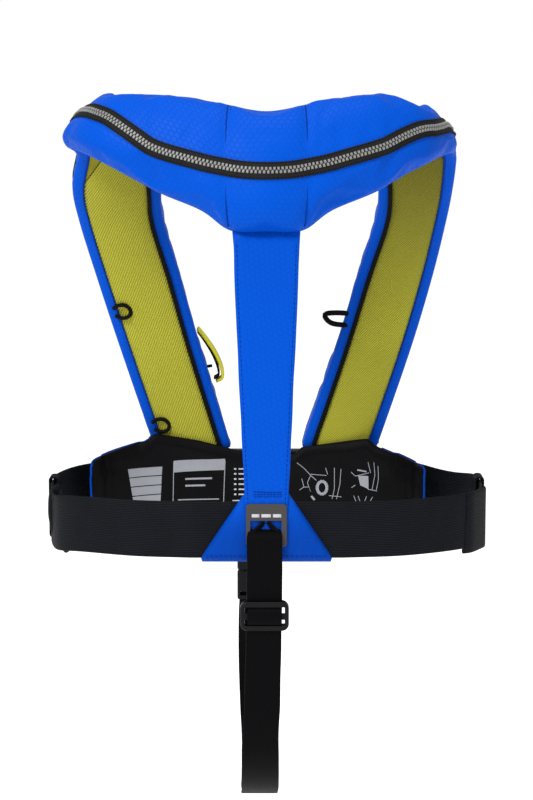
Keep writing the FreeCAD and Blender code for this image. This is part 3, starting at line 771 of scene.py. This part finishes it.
def zip_line(step):
    """The zip's middle line with the directions across it and out of the cover."""
    fine = Tube(step)
    middle = fine.dome(fine.angle)
    across = unit(fine.dome(fine.angle - 4) - fine.dome(fine.angle + 4))
    along = tangents(middle)
    across = unit(across - along * (across * along).sum(axis=1, keepdims=True))
    return middle, across, np.cross(across, along) * -1, lengths(middle)


def make_zip():
    """Two tapes with their stitches, two rows of teeth, and the dark core between the rows."""
    middle, across, out, run = zip_line(4.0)
    if (out[len(out) // 2] @ np.array([0, -1, 0])) < 0:
        out = -out
    for name, low, high in (("upper", -TAPE_HALF, -1.2), ("lower", 1.2, TAPE_HALF)):
        section = [(a, 1.35 if abs(a) < 3 else 1.0) for a in np.linspace(low, high, 5)]
        section += [(a, 0.1) for a in np.linspace(high, low, 5)]
        points = np.stack([middle + across * a + out * b for a, b in section], axis=1)
        keep(grid_object(f"zip_{name}_tape_cloth", points, tape), "zip_tape", f"zip_{name}_tape")
    for name, offset in (("upper", -TAPE_HALF + 0.9), ("lower", TAPE_HALF - 0.9)):
        line = middle + across * offset + out * 1.15
        sew(f"zip_{name}_stitches", line, black_thread, "zip_tape", 2.2, 0.9, 0.22)
    verts, faces = [], []
    for i in range(4, int(run[-1] / TOOTH_PITCH) - 4):
        spot, side, up = (at_length(values, run, i * TOOTH_PITCH) for values in (middle, across, out))
        side, up = unit(side), unit(up)
        way = np.cross(side, up)
        hand = 1 if i % 2 else -1
        base = len(verts)
        for height, size, reach in TOOTH_LEVELS:
            for a, b in TOOTH_PLAN:
                verts.append(spot - side * a * hand * reach + way * b * size + up * height)
        tooth = grid_faces(3, 6, True) + [(12, 13, 14, 15, 16, 17), (5, 4, 3, 2, 1, 0)]
        faces += [tuple(base + f for f in face)[::hand] for face in tooth]
    keep(new_object("zip_teeth_rows", verts, faces, teeth_plastic, smooth=False), "zip_moulding", "zip_teeth")
    keep(ribbon("zip_coil_base", middle + out * 0.9, across, 2.2, 1.0, dark_tooth_plastic), "zip_moulding")


# ---- straps and belts ----------------------------------------------------------------------
def sagged(line):
    """The belt hangs a little lower where it turns round the wearer's sides."""
    line = line.copy()
    x, y = line[:, 0], line[:, 1]
    line[:, 2] -= np.where(x < -90, 5.5, 1.5) * np.exp(-((y - 36) / np.where(y > 36, 13, 26)) ** 2)
    line[:, 2] -= np.where(x > 100, 5.0, 0.0) * np.exp(-((y - 140) / 30) ** 2)
    return line


def belt_line(points, step=4.0):
    """A stretch of the belt's middle line through (x, y) points."""
    flat = smooth_line([(x, y, 0) for x, y in points], step)
    flat[:, 2] = BELT_Z
    return sagged(flat)


# The belt seen from above, as (x, y): round either side, then on to the front at the left and at the right.
BELT_SIDE = [(60, -25), (105, -18), (143, 0), (164, 20), (173, 40), (BELT_SIDE_X, 58), (BELT_SIDE_X, 76),
             (BELT_SIDE_X, 100)]
BELT_LEFT_FRONT = [(167, 130), (152, 152), (127, 172), (98, 186), (75, 189.7), (40, 189.7)]
BELT_RIGHT_FRONT = [(165, 130), (146, 152), (124, 172), (97, 186)]


def make_belt():
    """The belt round the wearer's back and sides, and its free end that goes into the front buckle."""
    width = BELT_TOP - BELT_BOTTOM
    left = [(-x, y) for x, y in BELT_SIDE + BELT_LEFT_FRONT]
    back = belt_line([(-60, -25), (-20, -25.2), (20, -25.2), (60, -25)])
    whole = np.concatenate([belt_line(left)[::-1][:-1], back, belt_line(BELT_SIDE + BELT_RIGHT_FRONT)[1:]])
    belt = ribbon("waist_belt", whole, UP, width, 2.0, webbing)
    keep(belt, "webbing", "waist_belt_back", "waist_belt_left", "waist_belt_right")
    front = belt_line([(97, 186.2), (90, 188.6), (75, 189.7), (60, 189.7), (38, 189.7)], 2.0)
    end = ribbon("waist_belt_front_end_web", front, UP, width, 2.0, webbing)
    keep(end, "webbing", "waist_belt_front_end", body=None)
    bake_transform(end)


def make_belt_ends():
    """The belt's spare webbing: folded flat at the right keeper, rolled up at the left one."""
    fold = [(159, 14, -283), (165, 20, -283.5), (173.5, 36, -284), (177.3, 45, -284.5), (177.8, 53, -285)]
    keep(ribbon("right_belt_fold", smooth_line(fold, 3.0), UP, 50.0, 3.2, webbing, 0.6, 2.0), "webbing")
    path = [(-169, 42, -258), (-172, 46, -265), (-173, 48, -277), (-172, 47, -290), (-168, 42, -302),
            (-162, 34, -310)]
    roll = smooth_line(path, 2.6)
    shares = np.linspace(0, 1, 25)
    radii = np.interp(shares, [0, 0.15, 0.4, 0.75, 1], [3.0, 5.4, 5.8, 5.2, 2.6])
    radii = np.interp(np.linspace(0, 1, len(roll)), shares, radii)
    keep(cord_mesh("left_belt_roll", roll, radii, webbing, sides=16), "webbing")


def make_keepers():
    """A flat webbing loop round each side of the belt, free to slide along it."""
    half_x, half_z, corner = 3.0, 24.7, 2.0
    turns = np.linspace(0, math.pi / 2, 5)
    for side, x, y, wide in (("left", -BELT_SIDE_X, 75, 17), ("right", BELT_SIDE_X, 77, 21)):
        z = sagged(np.array([[x, y, BELT_Z]]))[0, 2]
        ring = []
        for k, (sx, sz) in enumerate(((1, 1), (-1, 1), (-1, -1), (1, -1))):
            for t in turns if k % 2 == 0 else turns[::-1]:
                ring.append((x + sx * (half_x - corner + corner * math.cos(t)), y,
                             z + sz * (half_z - corner + corner * math.sin(t))))
            ring += [] if k % 2 else [(ring[-1][0], y, z + sz * half_z)]
        line = smooth_line(ring, 2.0, closed=True)
        loop = ribbon(f"{side}_keeper_loop", line, (0, 1, 0), wide, 1.7, fine_webbing, closed=True)
        keep(loop, "webbing", f"{side}_belt_keeper", body=f"{side}_belt_keeper")


# The back strap from the collar down, as (y, z), and its width at each of those points.
STRAP_PATH = [(-13, -40), (-16, -49), (-19.5, -55), (-19, -64), (-17.5, -100), (-22, -160), (-27, -215),
              (-31.2, -250), (-31.2, -262)]
STRAP_WIDTHS = [54, 52.5, 51.5, 50.5, 48.5, 43, 38, 34.5, 34.0]


def make_back_strap():
    """The tapered back strap with its edge stitches and the tacks above the plate."""
    data = smooth_line([(0, y, z, w) for (y, z), w in zip(STRAP_PATH, STRAP_WIDTHS)], 3.0)
    strap = ribbon("back_strap_cloth", data[:, :3], ACROSS, data[:, 3], 2.4, blue, 0.5, 4.0)
    keep(strap, "cover_fabric", "back_strap")
    seen = data[6:]
    for name, side in (("left", -1), ("right", 1)):
        aside = np.stack([side * (seen[:, 3] / 2 - 2.4), np.full(len(seen), -1.25), 0 * seen[:, 3]], axis=1)
        sew(f"strap_{name}_stitches", seen[:, :3] + aside, blue_thread, "cover_fabric")
    for k, z in enumerate((-249.5, -251.2, -252.9)):
        row = [(-10.5, -32.6, z + 0.6 * (k == 0)), (0, -32.6, z), (12.5, -32.6, z)]
        sew(f"strap_tack_{k}", row, blue_thread, "cover_fabric", 2.2, 0.3, 0.36)


def make_sleeve():
    """The cloth triangle that the belt runs through, sewn to the back strap's end."""
    rows = []
    for share in np.linspace(0, 1, 23):
        z = -250.5 - 55.3 * share
        half = 17.0 + 37.0 * share - 3.4 * (max(0.0, share - 0.9) / 0.1) ** 2
        thick = np.interp(share, [0, 0.12, 0.3, 0.9, 0.97, 1.0], [2.2, 7.0, 11.4, 11.0, 7.0, 2.2])
        y = np.interp(share, [0, 0.12, 1.0], [-29.6, -27.2, -25.3])
        ring = stadium(2 * half, thick)
        ripple = [0.5 * noise.noise(Vector((a * 0.05, z * 0.06, 2.0))) for a, _ in ring]
        rows.append([(a, y + b + r * (b < 0), z) for (a, b), r in zip(ring, ripple)])
    sleeve = grid_object("belt_sleeve_cloth", np.array(rows), blue)
    keep(sleeve, "cover_fabric", "belt_sleeve")
    hem = [(x, y, -300.5) for x, y in ((-49, -31.1), (-20, -31.3), (20, -31.3), (49, -31.1))]
    sew("sleeve_hem_stitches", smooth_line(hem, 4.0), blue_thread, "cover_fabric")


def make_crotch_strap():
    """The strap runs from the plate down the back, under the wearer, and up to the front buckle."""
    back_x, front_x, y, front_y = -4.5, CROTCH_FRONT_X, -36.2, 193.0
    bend, drop, steps = -440.0, 80.0, 10
    arc = []
    for i in range(steps + 1):
        turn = math.pi * i / steps
        arc.append((back_x + (front_x - back_x) * i / steps, y + (front_y - y) * (1 - math.cos(turn)) / 2,
                    bend - drop * math.sin(turn)))
    back = [(-1.2, -28.5, -279.6), (-1.2, -33, -280.0), (-1.3, -36.8, -284), (-1.3, -37.4, -292),
            (-1.4, y - 0.3, -304), (-1.8, y, -330), (-2.5, y, -386)] + arc[:8]
    front = [(x - min(2.0, 0.8 * k), *rest) for k, (x, *rest) in enumerate(arc[7:])]
    front += [(front_x - 1.5, front_y, -395), (front_x, front_y, -379.5)]
    widths = np.interp(np.arange(len(back)), [0, 1, 2, 6, 9], [24, 25, 27.5, 28, 30])
    data = smooth_line([(*point, width) for point, width in zip(back, widths)], 3.0)
    web = ribbon("crotch_strap_back_web", data[:, :3], ACROSS, data[:, 3], 1.8, strap_webbing, 0.6, 9.0)
    keep(web, "webbing", "crotch_strap_back", "crotch_fold")
    web = ribbon("crotch_strap_front_web", smooth_line(front, 4.0), ACROSS, 30.0, 1.8, strap_webbing, 0.6, 12.0)
    keep(web, "webbing", "crotch_strap_front", body=None)
    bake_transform(web)


def make_plate_webbing():
    """Webbing behind the crotch plate, and the two folds where the strap passes its slot."""
    lid = [(-0.5, -31.35, z) for z in np.arange(-291, -261, 3.0)]
    keep(ribbon("plate_backing", lid, ACROSS, 28.0, 0.6, fine_webbing), "webbing")
    half = [(11, -34.0, -283.5), (6, -33.6, -278), (1.2, -32.8, -273)]
    for name, side in (("left", -1), ("right", 1)):
        fold = [(side * x - 0.5, y, z) for x, y, z in half]
        along = (side * 0.6, 0, -0.8)
        keep(ribbon(f"slot_{name}_fold", smooth_line(fold, 1.5), along, 5.5, 1.2, fine_webbing), "webbing")


def make_triglide_webbing():
    """The strap's turn over the adjuster's middle bar."""
    path = [(-37.6, -340.2), (-40.6, -340.4), (-42.4, -342.3), (-42.9, -346.5), (-42.4, -350.7),
            (-40.6, -352.6), (-37.6, -352.8)]
    over = smooth_line([(-1.5, y, z) for y, z in path], 1.0)
    keep(ribbon("triglide_web", over, ACROSS, 27.0, 1.6, strap_webbing), "webbing", body="crotch_triglide")


def make_front_tab():
    """The webbing tab that holds the crotch buckle below the belt."""
    path = [(185.2, -262), (185.0, -285), (185.4, -309.5), (190.6, -320), (193, -328)]
    tab = smooth_line([(CROTCH_FRONT_X, y, z) for y, z in path], 3.0)
    keep(ribbon("crotch_front_tab_web", tab, ACROSS, 30.0, 1.6, webbing), "webbing", "crotch_front_tab")
    for k, z in enumerate((-305.5, -308.5)):
        row = [(CROTCH_FRONT_X - 12, 186.4, z), (CROTCH_FRONT_X + 12, 186.4, z)]
        sew(f"front_tab_stitches_{k}", row, black_thread, "webbing")


# ---- front panels and their print ----------------------------------------------------------
def rounded(share):
    """A quarter circle from 0 at an edge to 1, for the fullness of a pad near that edge."""
    return math.sqrt(max(0.0, 1 - (1 - min(1.0, share)) ** 2))


class Panel:
    """A padded front panel: found by x across it and z up it."""

    plan = {"left": [(-6, 181.5), (-40, 181.5), (-80, 179), (-112, 168), (-136, 150), (-150, 125)],
            "right": [(6, 181.5), (40, 181.5), (75, 179), (104, 168), (124, 150), (135, 125)]}
    tops = {"left": [(-150, -257), (-148.5, -252), (-142, -249.5), (-105, -240.5), (-100, -235), (-60, -242),
                     (-29, -250), (-6, -254)],
            "right": [(6, -256), (24, -255), (31, -248), (60, -244), (90, -239.5), (98, -246), (129, -256),
                      (133.5, -258), (135, -262)]}

    def __init__(self, side):
        line = smooth_line([(x, y, 0) for x, y in self.plan[side]], 3.0)
        self.run = lengths(line)
        self.x, self.y = line[:, 0], line[:, 1]
        along = tangents(line)
        self.out = np.stack([along[:, 1], -along[:, 0]], axis=1) * (1 if side == "left" else -1)
        self.sign = -1 if side == "left" else 1
        self.tops_x, self.tops_z = zip(*sorted(self.tops[side]))

    def top(self, x):
        return np.interp(x, self.tops_x, self.tops_z)

    def point(self, x, z, face, lift=0.0):
        """A point on the panel: face is -1 on the body side and 1 on the far side."""
        rows = (self.y, self.run, self.out[:, 0], self.out[:, 1])
        y, run, nx, ny = (np.interp(self.sign * x, self.sign * self.x, row) for row in rows)
        top = self.top(x)
        share = (z - PANEL_BOTTOM) / (top - PANEL_BOTTOM)
        from_end = self.run[-1] - run
        top_foot = min(rounded((1 - share) / 0.14), rounded(share / 0.1))
        half = 0.6 + 4.2 * top_foot * min(rounded(from_end / 7), rounded(run / 5))
        half -= 2.0 * math.exp(-((from_end - 17) / 2.2) ** 2)
        half += 1.1 * noise.noise(Vector((x * 0.035, z * 0.05, 5.0 + self.sign)))
        half += 0.7 * math.sin(x * 0.10 + z * 0.22) * math.exp(-((share - 0.85) / 0.2) ** 2)
        half = max(0.5, half)
        step = min(1.0, max(0.0, (share - 0.62) / 0.3))
        shift = -3.4 * step * step * (3 - 2 * step) * (abs(x) < 112) - 1.2
        reach = shift + face * (half + lift)
        return np.array([x + nx * reach, y + ny * reach, z])


def make_panel(side):
    """One padded panel with blue piping on its outer edge and a row of stitches."""
    panel = Panel(side)
    shares = (1 - np.cos(np.linspace(0, math.pi, 27))) / 2
    rows = []
    for x in panel.x:
        heights = PANEL_BOTTOM + (panel.top(x) - PANEL_BOTTOM) * shares
        ring = [panel.point(x, z, -1) for z in heights] + [panel.point(x, z, 1) for z in heights[::-1]]
        rows.append(ring)
    cloth = grid_object(f"{side}_panel_pad", np.array(rows), panel_cloth, flip=side == "left")
    keep(cloth, "panel_fabric", f"{side}_front_panel")
    edge = [panel.point(x, panel.top(x) - 0.6, 1, 0.3) for x in panel.x if abs(x) > 100]
    end = panel.x[-1]
    edge += [panel.point(end, z, 1, 0.3) for z in np.arange(panel.top(end) - 6, PANEL_BOTTOM + 4, -5)]
    keep(cord_mesh(f"{side}_panel_piping", smooth_line(edge, 2.5), 1.0, blue_piping), "panel_fabric")
    inset = [panel.point(x, panel.top(x) - 7.5, -1, 0.15) for x in panel.x if 30 < abs(x) < abs(end) - 12]
    sew(f"{side}_panel_stitches", inset, black_thread, "panel_fabric")
    return panel


def make_print(name, panel, strokes, patches, material, nodes=()):
    """Thin strokes and filled patches printed on a panel; all are given as (x, z) points."""
    verts, faces = [], []
    for width, line in strokes:
        for (xa, za), (xb, zb) in zip(line[:-1], line[1:]):
            pieces = max(1, int(math.hypot(xb - xa, zb - za) / 3))
            side = np.array([-(zb - za), xb - xa]) / math.hypot(xb - xa, zb - za) * width / 2
            for k in range(pieces + 1):
                x, z = xa + (xb - xa) * k / pieces, za + (zb - za) * k / pieces
                verts += [panel.point(x + way * side[0], z + way * side[1], -1, 0.35) for way in (1, -1)]
                if k:
                    last = len(verts)
                    faces.append((last - 4, last - 3, last - 1, last - 2))
    for corners in patches:
        (xa, za), (xb, zb), (xc, zc), (xd, zd) = corners
        columns, levels, base = 9, 5, len(verts)
        for i in range(levels):
            down = i / (levels - 1)
            for k in range(columns):
                share = k / (columns - 1)
                x = (xa + (xb - xa) * share) * (1 - down) + (xd + (xc - xd) * share) * down
                z = (za + (zb - za) * share) * (1 - down) + (zd + (zc - zd) * share) * down
                verts.append(panel.point(x, z, -1, 0.3))
        faces += [tuple(base + f for f in face) for face in grid_faces(levels, columns, False)]
    keep(new_object(name, verts, faces, material), "label_print", *nodes)


def make_left_prints(panel):
    """Plain bars, a framed block and a list of marks in place of the left panel's words."""
    bars = []
    for share in np.arange(4) / 4:
        high, low = -264.2 - 33 * share, -264.2 - 33 * (share + 0.225)
        bars.append([(-124 + 5 * share, high), (-93 - 2 * share, high), (-93.5 - 2 * share, low),
                     (-122.8 + 5 * share, low)])
    make_print("left_size_bars", panel, [], bars, silver_ink)
    lines = [(0.7, [(-82.5, -260), (-83.5, -299)]), (0.7, [(-36.5, -259), (-38, -299)]),
             (1.6, [(-72, -276), (-48, -275.5)]), (1.6, [(-72, -282), (-54, -281.7)]),
             (1.0, [(-79, -294.5), (-42, -294)])]
    header = [(-82.5, -259.5), (-36.5, -257.5), (-37, -268), (-82.5, -270)]
    make_print("left_name_frame", panel, lines, [header], silver_ink, ["left_care_label"])
    levels = np.arange(-267, -293, -4.6)
    marks = [(width, [(start, z), (end, z)]) for width, start, end in ((1.5, -28.5, -26.5), (1.2, -24.5, -18))
             for z in levels]
    marks.append((0.9, [(-30, -295.5), (-18, -295.5)]))
    make_print("left_list_marks", panel, marks, [], pale_ink)


# Plain line drawings of straps and buckles, each line as (x, z) points.
DRAWINGS = [
    [(26.5, -261), (33, -266.5), (39, -273), (44, -277.5)], [(39, -272), (53, -273)],
    [(31, -276), (33, -283.5), (29, -286)], [(33, -283.5), (37.5, -283.5), (39, -287.5)],
    [(52, -266), (54, -272)], [(60, -266), (60, -285), (58, -294)], [(66, -267), (65, -281), (62, -294)],
    [(55, -291), (66.5, -292)],
    [(39, -273), (36, -279.5), (39, -287.5)], [(75.5, -269.5), (79.5, -273), (92, -269.5)],
    [(76, -283.5), (79.5, -281)], [(91.5, -260), (93.5, -269.5)], [(97.3, -259.5), (97.5, -271.5), (95, -284)],
    [(101, -262.5), (100.7, -275.5), (98.8, -285)], [(91, -284), (99.5, -285)], [(78, -290.5), (80, -295.5)],
    [(82, -290.5), (84, -295.5)], [(90, -290.5), (88, -295.5)], [(95.5, -290.5), (93, -295.5)],
]


def make_right_prints(panel):
    """Line drawings with a ring and a filled patch in place of the right panel's words."""
    strokes = [(0.6, line) for line in DRAWINGS]
    ring = [(49 + 4.3 * math.cos(t), -284 + 5.8 * math.sin(t)) for t in np.linspace(0, 2 * math.pi, 17)]
    strokes += [(2.6, ring), (1.8, [(39.5, -291.5), (42.5, -295)]), (1.3, [(81.3, -267.4), (89.7, -268.5)])]
    patch = [(82, -272.5), (91.5, -272.3), (91.7, -284), (84, -281)]
    make_print("right_drawings", panel, strokes, [patch], silver_ink, ["right_care_label"])


# ---- small pieces --------------------------------------------------------------------------
def middle_of(node):
    """The middle of a CAD node's box, in millimetres."""
    low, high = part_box(node)
    return (np.array(low) + np.array(high)) / 2 / MM


def make_spring():
    """The oral valve's coil spring, which shortens when the valve is pressed; here it is a fixed coil as long
    as the CAD part.
    """
    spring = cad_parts["oral_spring"]
    points = np.array([spring.matrix_world @ v.co for v in spring.data.vertices]) / MM
    middle = (points.min(axis=0) + points.max(axis=0)) / 2
    axis = np.linalg.svd(points - points.mean(axis=0))[2][0]
    axis *= np.sign((middle_of("oral_valve") - middle) @ axis)
    half = np.abs((points - middle) @ axis).max() - 0.5
    first = unit(np.cross(axis, (0.2, 0.9, 0.3)))
    second = np.cross(axis, first)
    coils, radius = 6, 2.8
    wire = []
    for turn in np.linspace(0, 2 * math.pi * coils, 145):
        along = turn / (math.pi * coils) - 1
        wire.append(middle + axis * half * along + radius * (first * math.cos(turn) + second * math.sin(turn)))
    coil = cord_mesh("oral_coil_spring", wire, 0.4, steel_metal, sides=6)
    keep(coil, "ring_steel", "oral_spring", body=None)
    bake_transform(coil)


def local_frame(node):
    """A CAD node's middle, the directions inward over the lobe, up it and away from the body, and its ring."""
    middle = middle_of(node)
    rise = np.abs(tube.middle[:, 2] - middle[2])
    row = int(np.argmin(rise + 999 * (tube.middle[:, 0] * middle[0] < 0)))
    up = tangents(tube.middle)[row]
    up = up if up[2] > 0 else -up
    return middle, -tube.u[row], up, tube.n[row], row


def make_cord_loops():
    """Two elastic cord loops on the left lining."""
    shape = [(-3.0, 4.5), (2.0, 8.0), (7.5, 8.6), (11.0, 5.0), (10.5, 0.0), (6.5, -3.0), (1.5, -3.6),
             (-3.0, -2.2)]
    for name in ("upper_cord_loop", "lower_cord_loop"):
        _, inward, up, away, row = local_frame(name)
        edge = lining_point(np.array([row]), 1.0)[0]
        path = [edge + inward * a + up * b - away * (3.0 + 1.2 * math.sin(a * 0.3)) for a, b in shape]
        loop = cord_mesh(name + "_elastic", smooth_line(path, 1.0), 1.7, black_cloth, sides=10)
        keep(loop, "black_cord", name)


def make_accessory_loop():
    """A narrow webbing loop sewn to the right lobe's inner edge."""
    path = [(74, 159, -129), (62, 158.5, -128), (52, 158.3, -128.6), (50.3, 158.8, -131.2),
            (54, 159.3, -135.8), (60, 159.8, -138), (72, 160.5, -139)]
    loop = ribbon("accessory_loop_web", smooth_line(path, 1.5), (0, 0.9, -0.2), 5.0, 4.5, fine_webbing)
    keep(loop, "webbing", "accessory_loop")


def make_pull_tab():
    """The yellow manual firing tab, the webbing inside its curve, and its cord."""
    middle, inward, up, away, _ = local_frame("pull_tab")
    curve = [(25, -5.5), (20, -3.0), (12, 0.2), (3, 3.0), (-7, 4.6), (-16, 4.4), (-22, 2.4), (-25, -3.5)]
    outer = smooth_line([middle + up * a + inward * b for a, b in curve], 1.5)
    grip = ribbon("pull_tab_grip", outer, away, 9.5, 2.6, yellow_plastic)
    keep(grip, "yellow_plastic", "pull_tab", body="pull_tab")
    inner = smooth_line([middle + up * a * 0.9 + inward * (b * 0.75 - 2.0) for a, b in curve], 1.5)
    keep(ribbon("pull_tab_web", inner, away, 8.0, 1.6, fine_webbing), "black_cord", body="pull_tab")
    path = [middle + up * a - inward * b for a, b in ((15, 17.7), (-11, 17.7), (-11, 3.2))]
    cord = cord_mesh("pull_cord_braid", smooth_line(path, 1.5), 1.4, black_cloth)
    keep(cord, "black_cord", "pull_cord", body="pull_tab")


def make_ring_loop():
    """The webbing that holds the lifting ring to the belt."""
    x, y, z, radius = -66, 197.5, -276, 4.4
    turns = np.linspace(0, 2 * math.pi, 25)[:-1]
    ring = [(x, y + radius * math.cos(t), z + radius * math.sin(t)) for t in turns]
    keep(ribbon("ring_loop_web", ring, ACROSS, 12.0, 1.1, fine_webbing, closed=True), "webbing", "ring_loop")
    patch = [(x, 192.0, height) for height in np.arange(-288, -259, 4)]
    keep(ribbon("ring_loop_patch", patch, ACROSS, 12.0, 1.6, fine_webbing), "webbing")
    for k, side in enumerate((-4.5, 4.5)):
        row = [(x + side, 193.0, -286.5), (x + side, 193.0, -261.5)]
        sew(f"ring_patch_stitches_{k}", row, black_thread, "webbing")


def make_plate_marks():
    """Three plain dashes in place of the mark on the crotch plate."""
    for k, (low, high) in enumerate(((-11.5, -5.5), (-4.0, 3.5), (5.0, 11.5))):
        dash = [(x, -34.45, -267.6) for x in np.linspace(low, high, 4)]
        keep(ribbon(f"plate_mark_{k}", dash, UP, 2.6, 0.3, pale_ink), "label_print")


# ---- CAD nodes that keep their shape --------------------------------------------------------
def dress(names, material):
    for name in names:
        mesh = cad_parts[name].data
        mesh.materials.clear()
        mesh.materials.append(material)


def dress_hardware():
    dress(["belt_buckle_female", "belt_buckle_male", "crotch_buckle_female", "crotch_buckle_male",
           "crotch_triglide", "oral_tube", "oral_cap", "oral_valve", "inflator_body", "firing_lever"],
          black_plastic)
    dress(["crotch_plate"], grey_plastic)
    dress(["lifting_ring", "lever_pin", "firing_pin", "whistle_pin", "gas_cylinder"], steel_metal)
    dress(["zip_slider", "zip_pull"], dark_tooth_plastic)
    dress(["whistle", "auto_cartridge"], yellow_plastic)


# ---- camera, floor and light ----------------------------------------------------------------
def make_camera():
    distance, pitch = 1.6, math.radians(8)
    target = Vector((0, -0.025, -0.178))
    camera = bpy.data.objects.new("camera", bpy.data.cameras.new("camera"))
    camera.data.lens = 92.8
    camera.data.sensor_width = 36
    camera.location = target + distance * Vector((0, -math.cos(pitch), math.sin(pitch)))
    camera.rotation_euler = (math.radians(90) - pitch, 0, 0)
    camera.data.clip_end = 50
    bpy.context.scene.collection.objects.link(camera)
    bpy.context.scene.camera = camera


def area_light(name, place, target, size, power):
    light = bpy.data.lights.new(name, "AREA")
    light.shape = "DISK"
    light.size = size
    light.energy = power
    made = bpy.data.objects.new(name, light)
    made.location = place
    made.rotation_euler = (Vector(target) - Vector(place)).to_track_quat("-Z", "Y").to_euler()
    bpy.context.scene.collection.objects.link(made)


def make_studio():
    floor_paint = Paint("pale_floor", (0.95, 0.95, 0.95, 1), 0.95, specular=0.0)
    floor_paint.shader.inputs["Emission Color"].default_value = (1, 1, 1, 1)
    floor_paint.shader.inputs["Emission Strength"].default_value = 0.45
    side, height = 12000.0, -620.0
    corners = [(-side, -side, height), (side, -side, height), (side, side, height), (-side, side, height)]
    floor = new_object("floor", corners, [(0, 1, 2, 3)], floor_paint.material, smooth=False)
    world = bpy.data.worlds.new("studio")
    world.use_nodes = True
    tree = world.node_tree
    background = tree.nodes["Background"]
    background.inputs["Color"].default_value = (1, 1, 1, 1)
    seen = tree.nodes.new("ShaderNodeLightPath").outputs["Is Camera Ray"]
    strength = tree.nodes.new("ShaderNodeMapRange")
    strength.inputs["To Min"].default_value = 0.6
    strength.inputs["To Max"].default_value = 1.0
    tree.links.new(seen, strength.inputs["Value"])
    tree.links.new(strength.outputs[0], background.inputs["Strength"])
    bpy.context.scene.world = world
    middle = (0, 0.05, -0.15)
    area_light("key", (-1.2, -1.5, 1.4), middle, 0.7, 48)
    area_light("fill", (1.5, -1.4, 0.4), middle, 1.2, 7)
    area_light("top", (0.0, -0.3, 1.6), middle, 0.9, 14)
    bpy.context.scene.view_settings.view_transform = "Standard"


make_camera()
make_studio()
make_cover()
make_bladder()
make_lining()
make_corner_patch()
make_zip()
make_belt()
make_belt_ends()
make_keepers()
make_back_strap()
make_sleeve()
make_crotch_strap()
make_plate_webbing()
make_triglide_webbing()
make_front_tab()
make_left_prints(make_panel("left"))
make_right_prints(make_panel("right"))
make_cord_loops()
make_accessory_loop()
make_pull_tab()
make_ring_loop()
make_plate_marks()
make_spring()
dress_hardware()
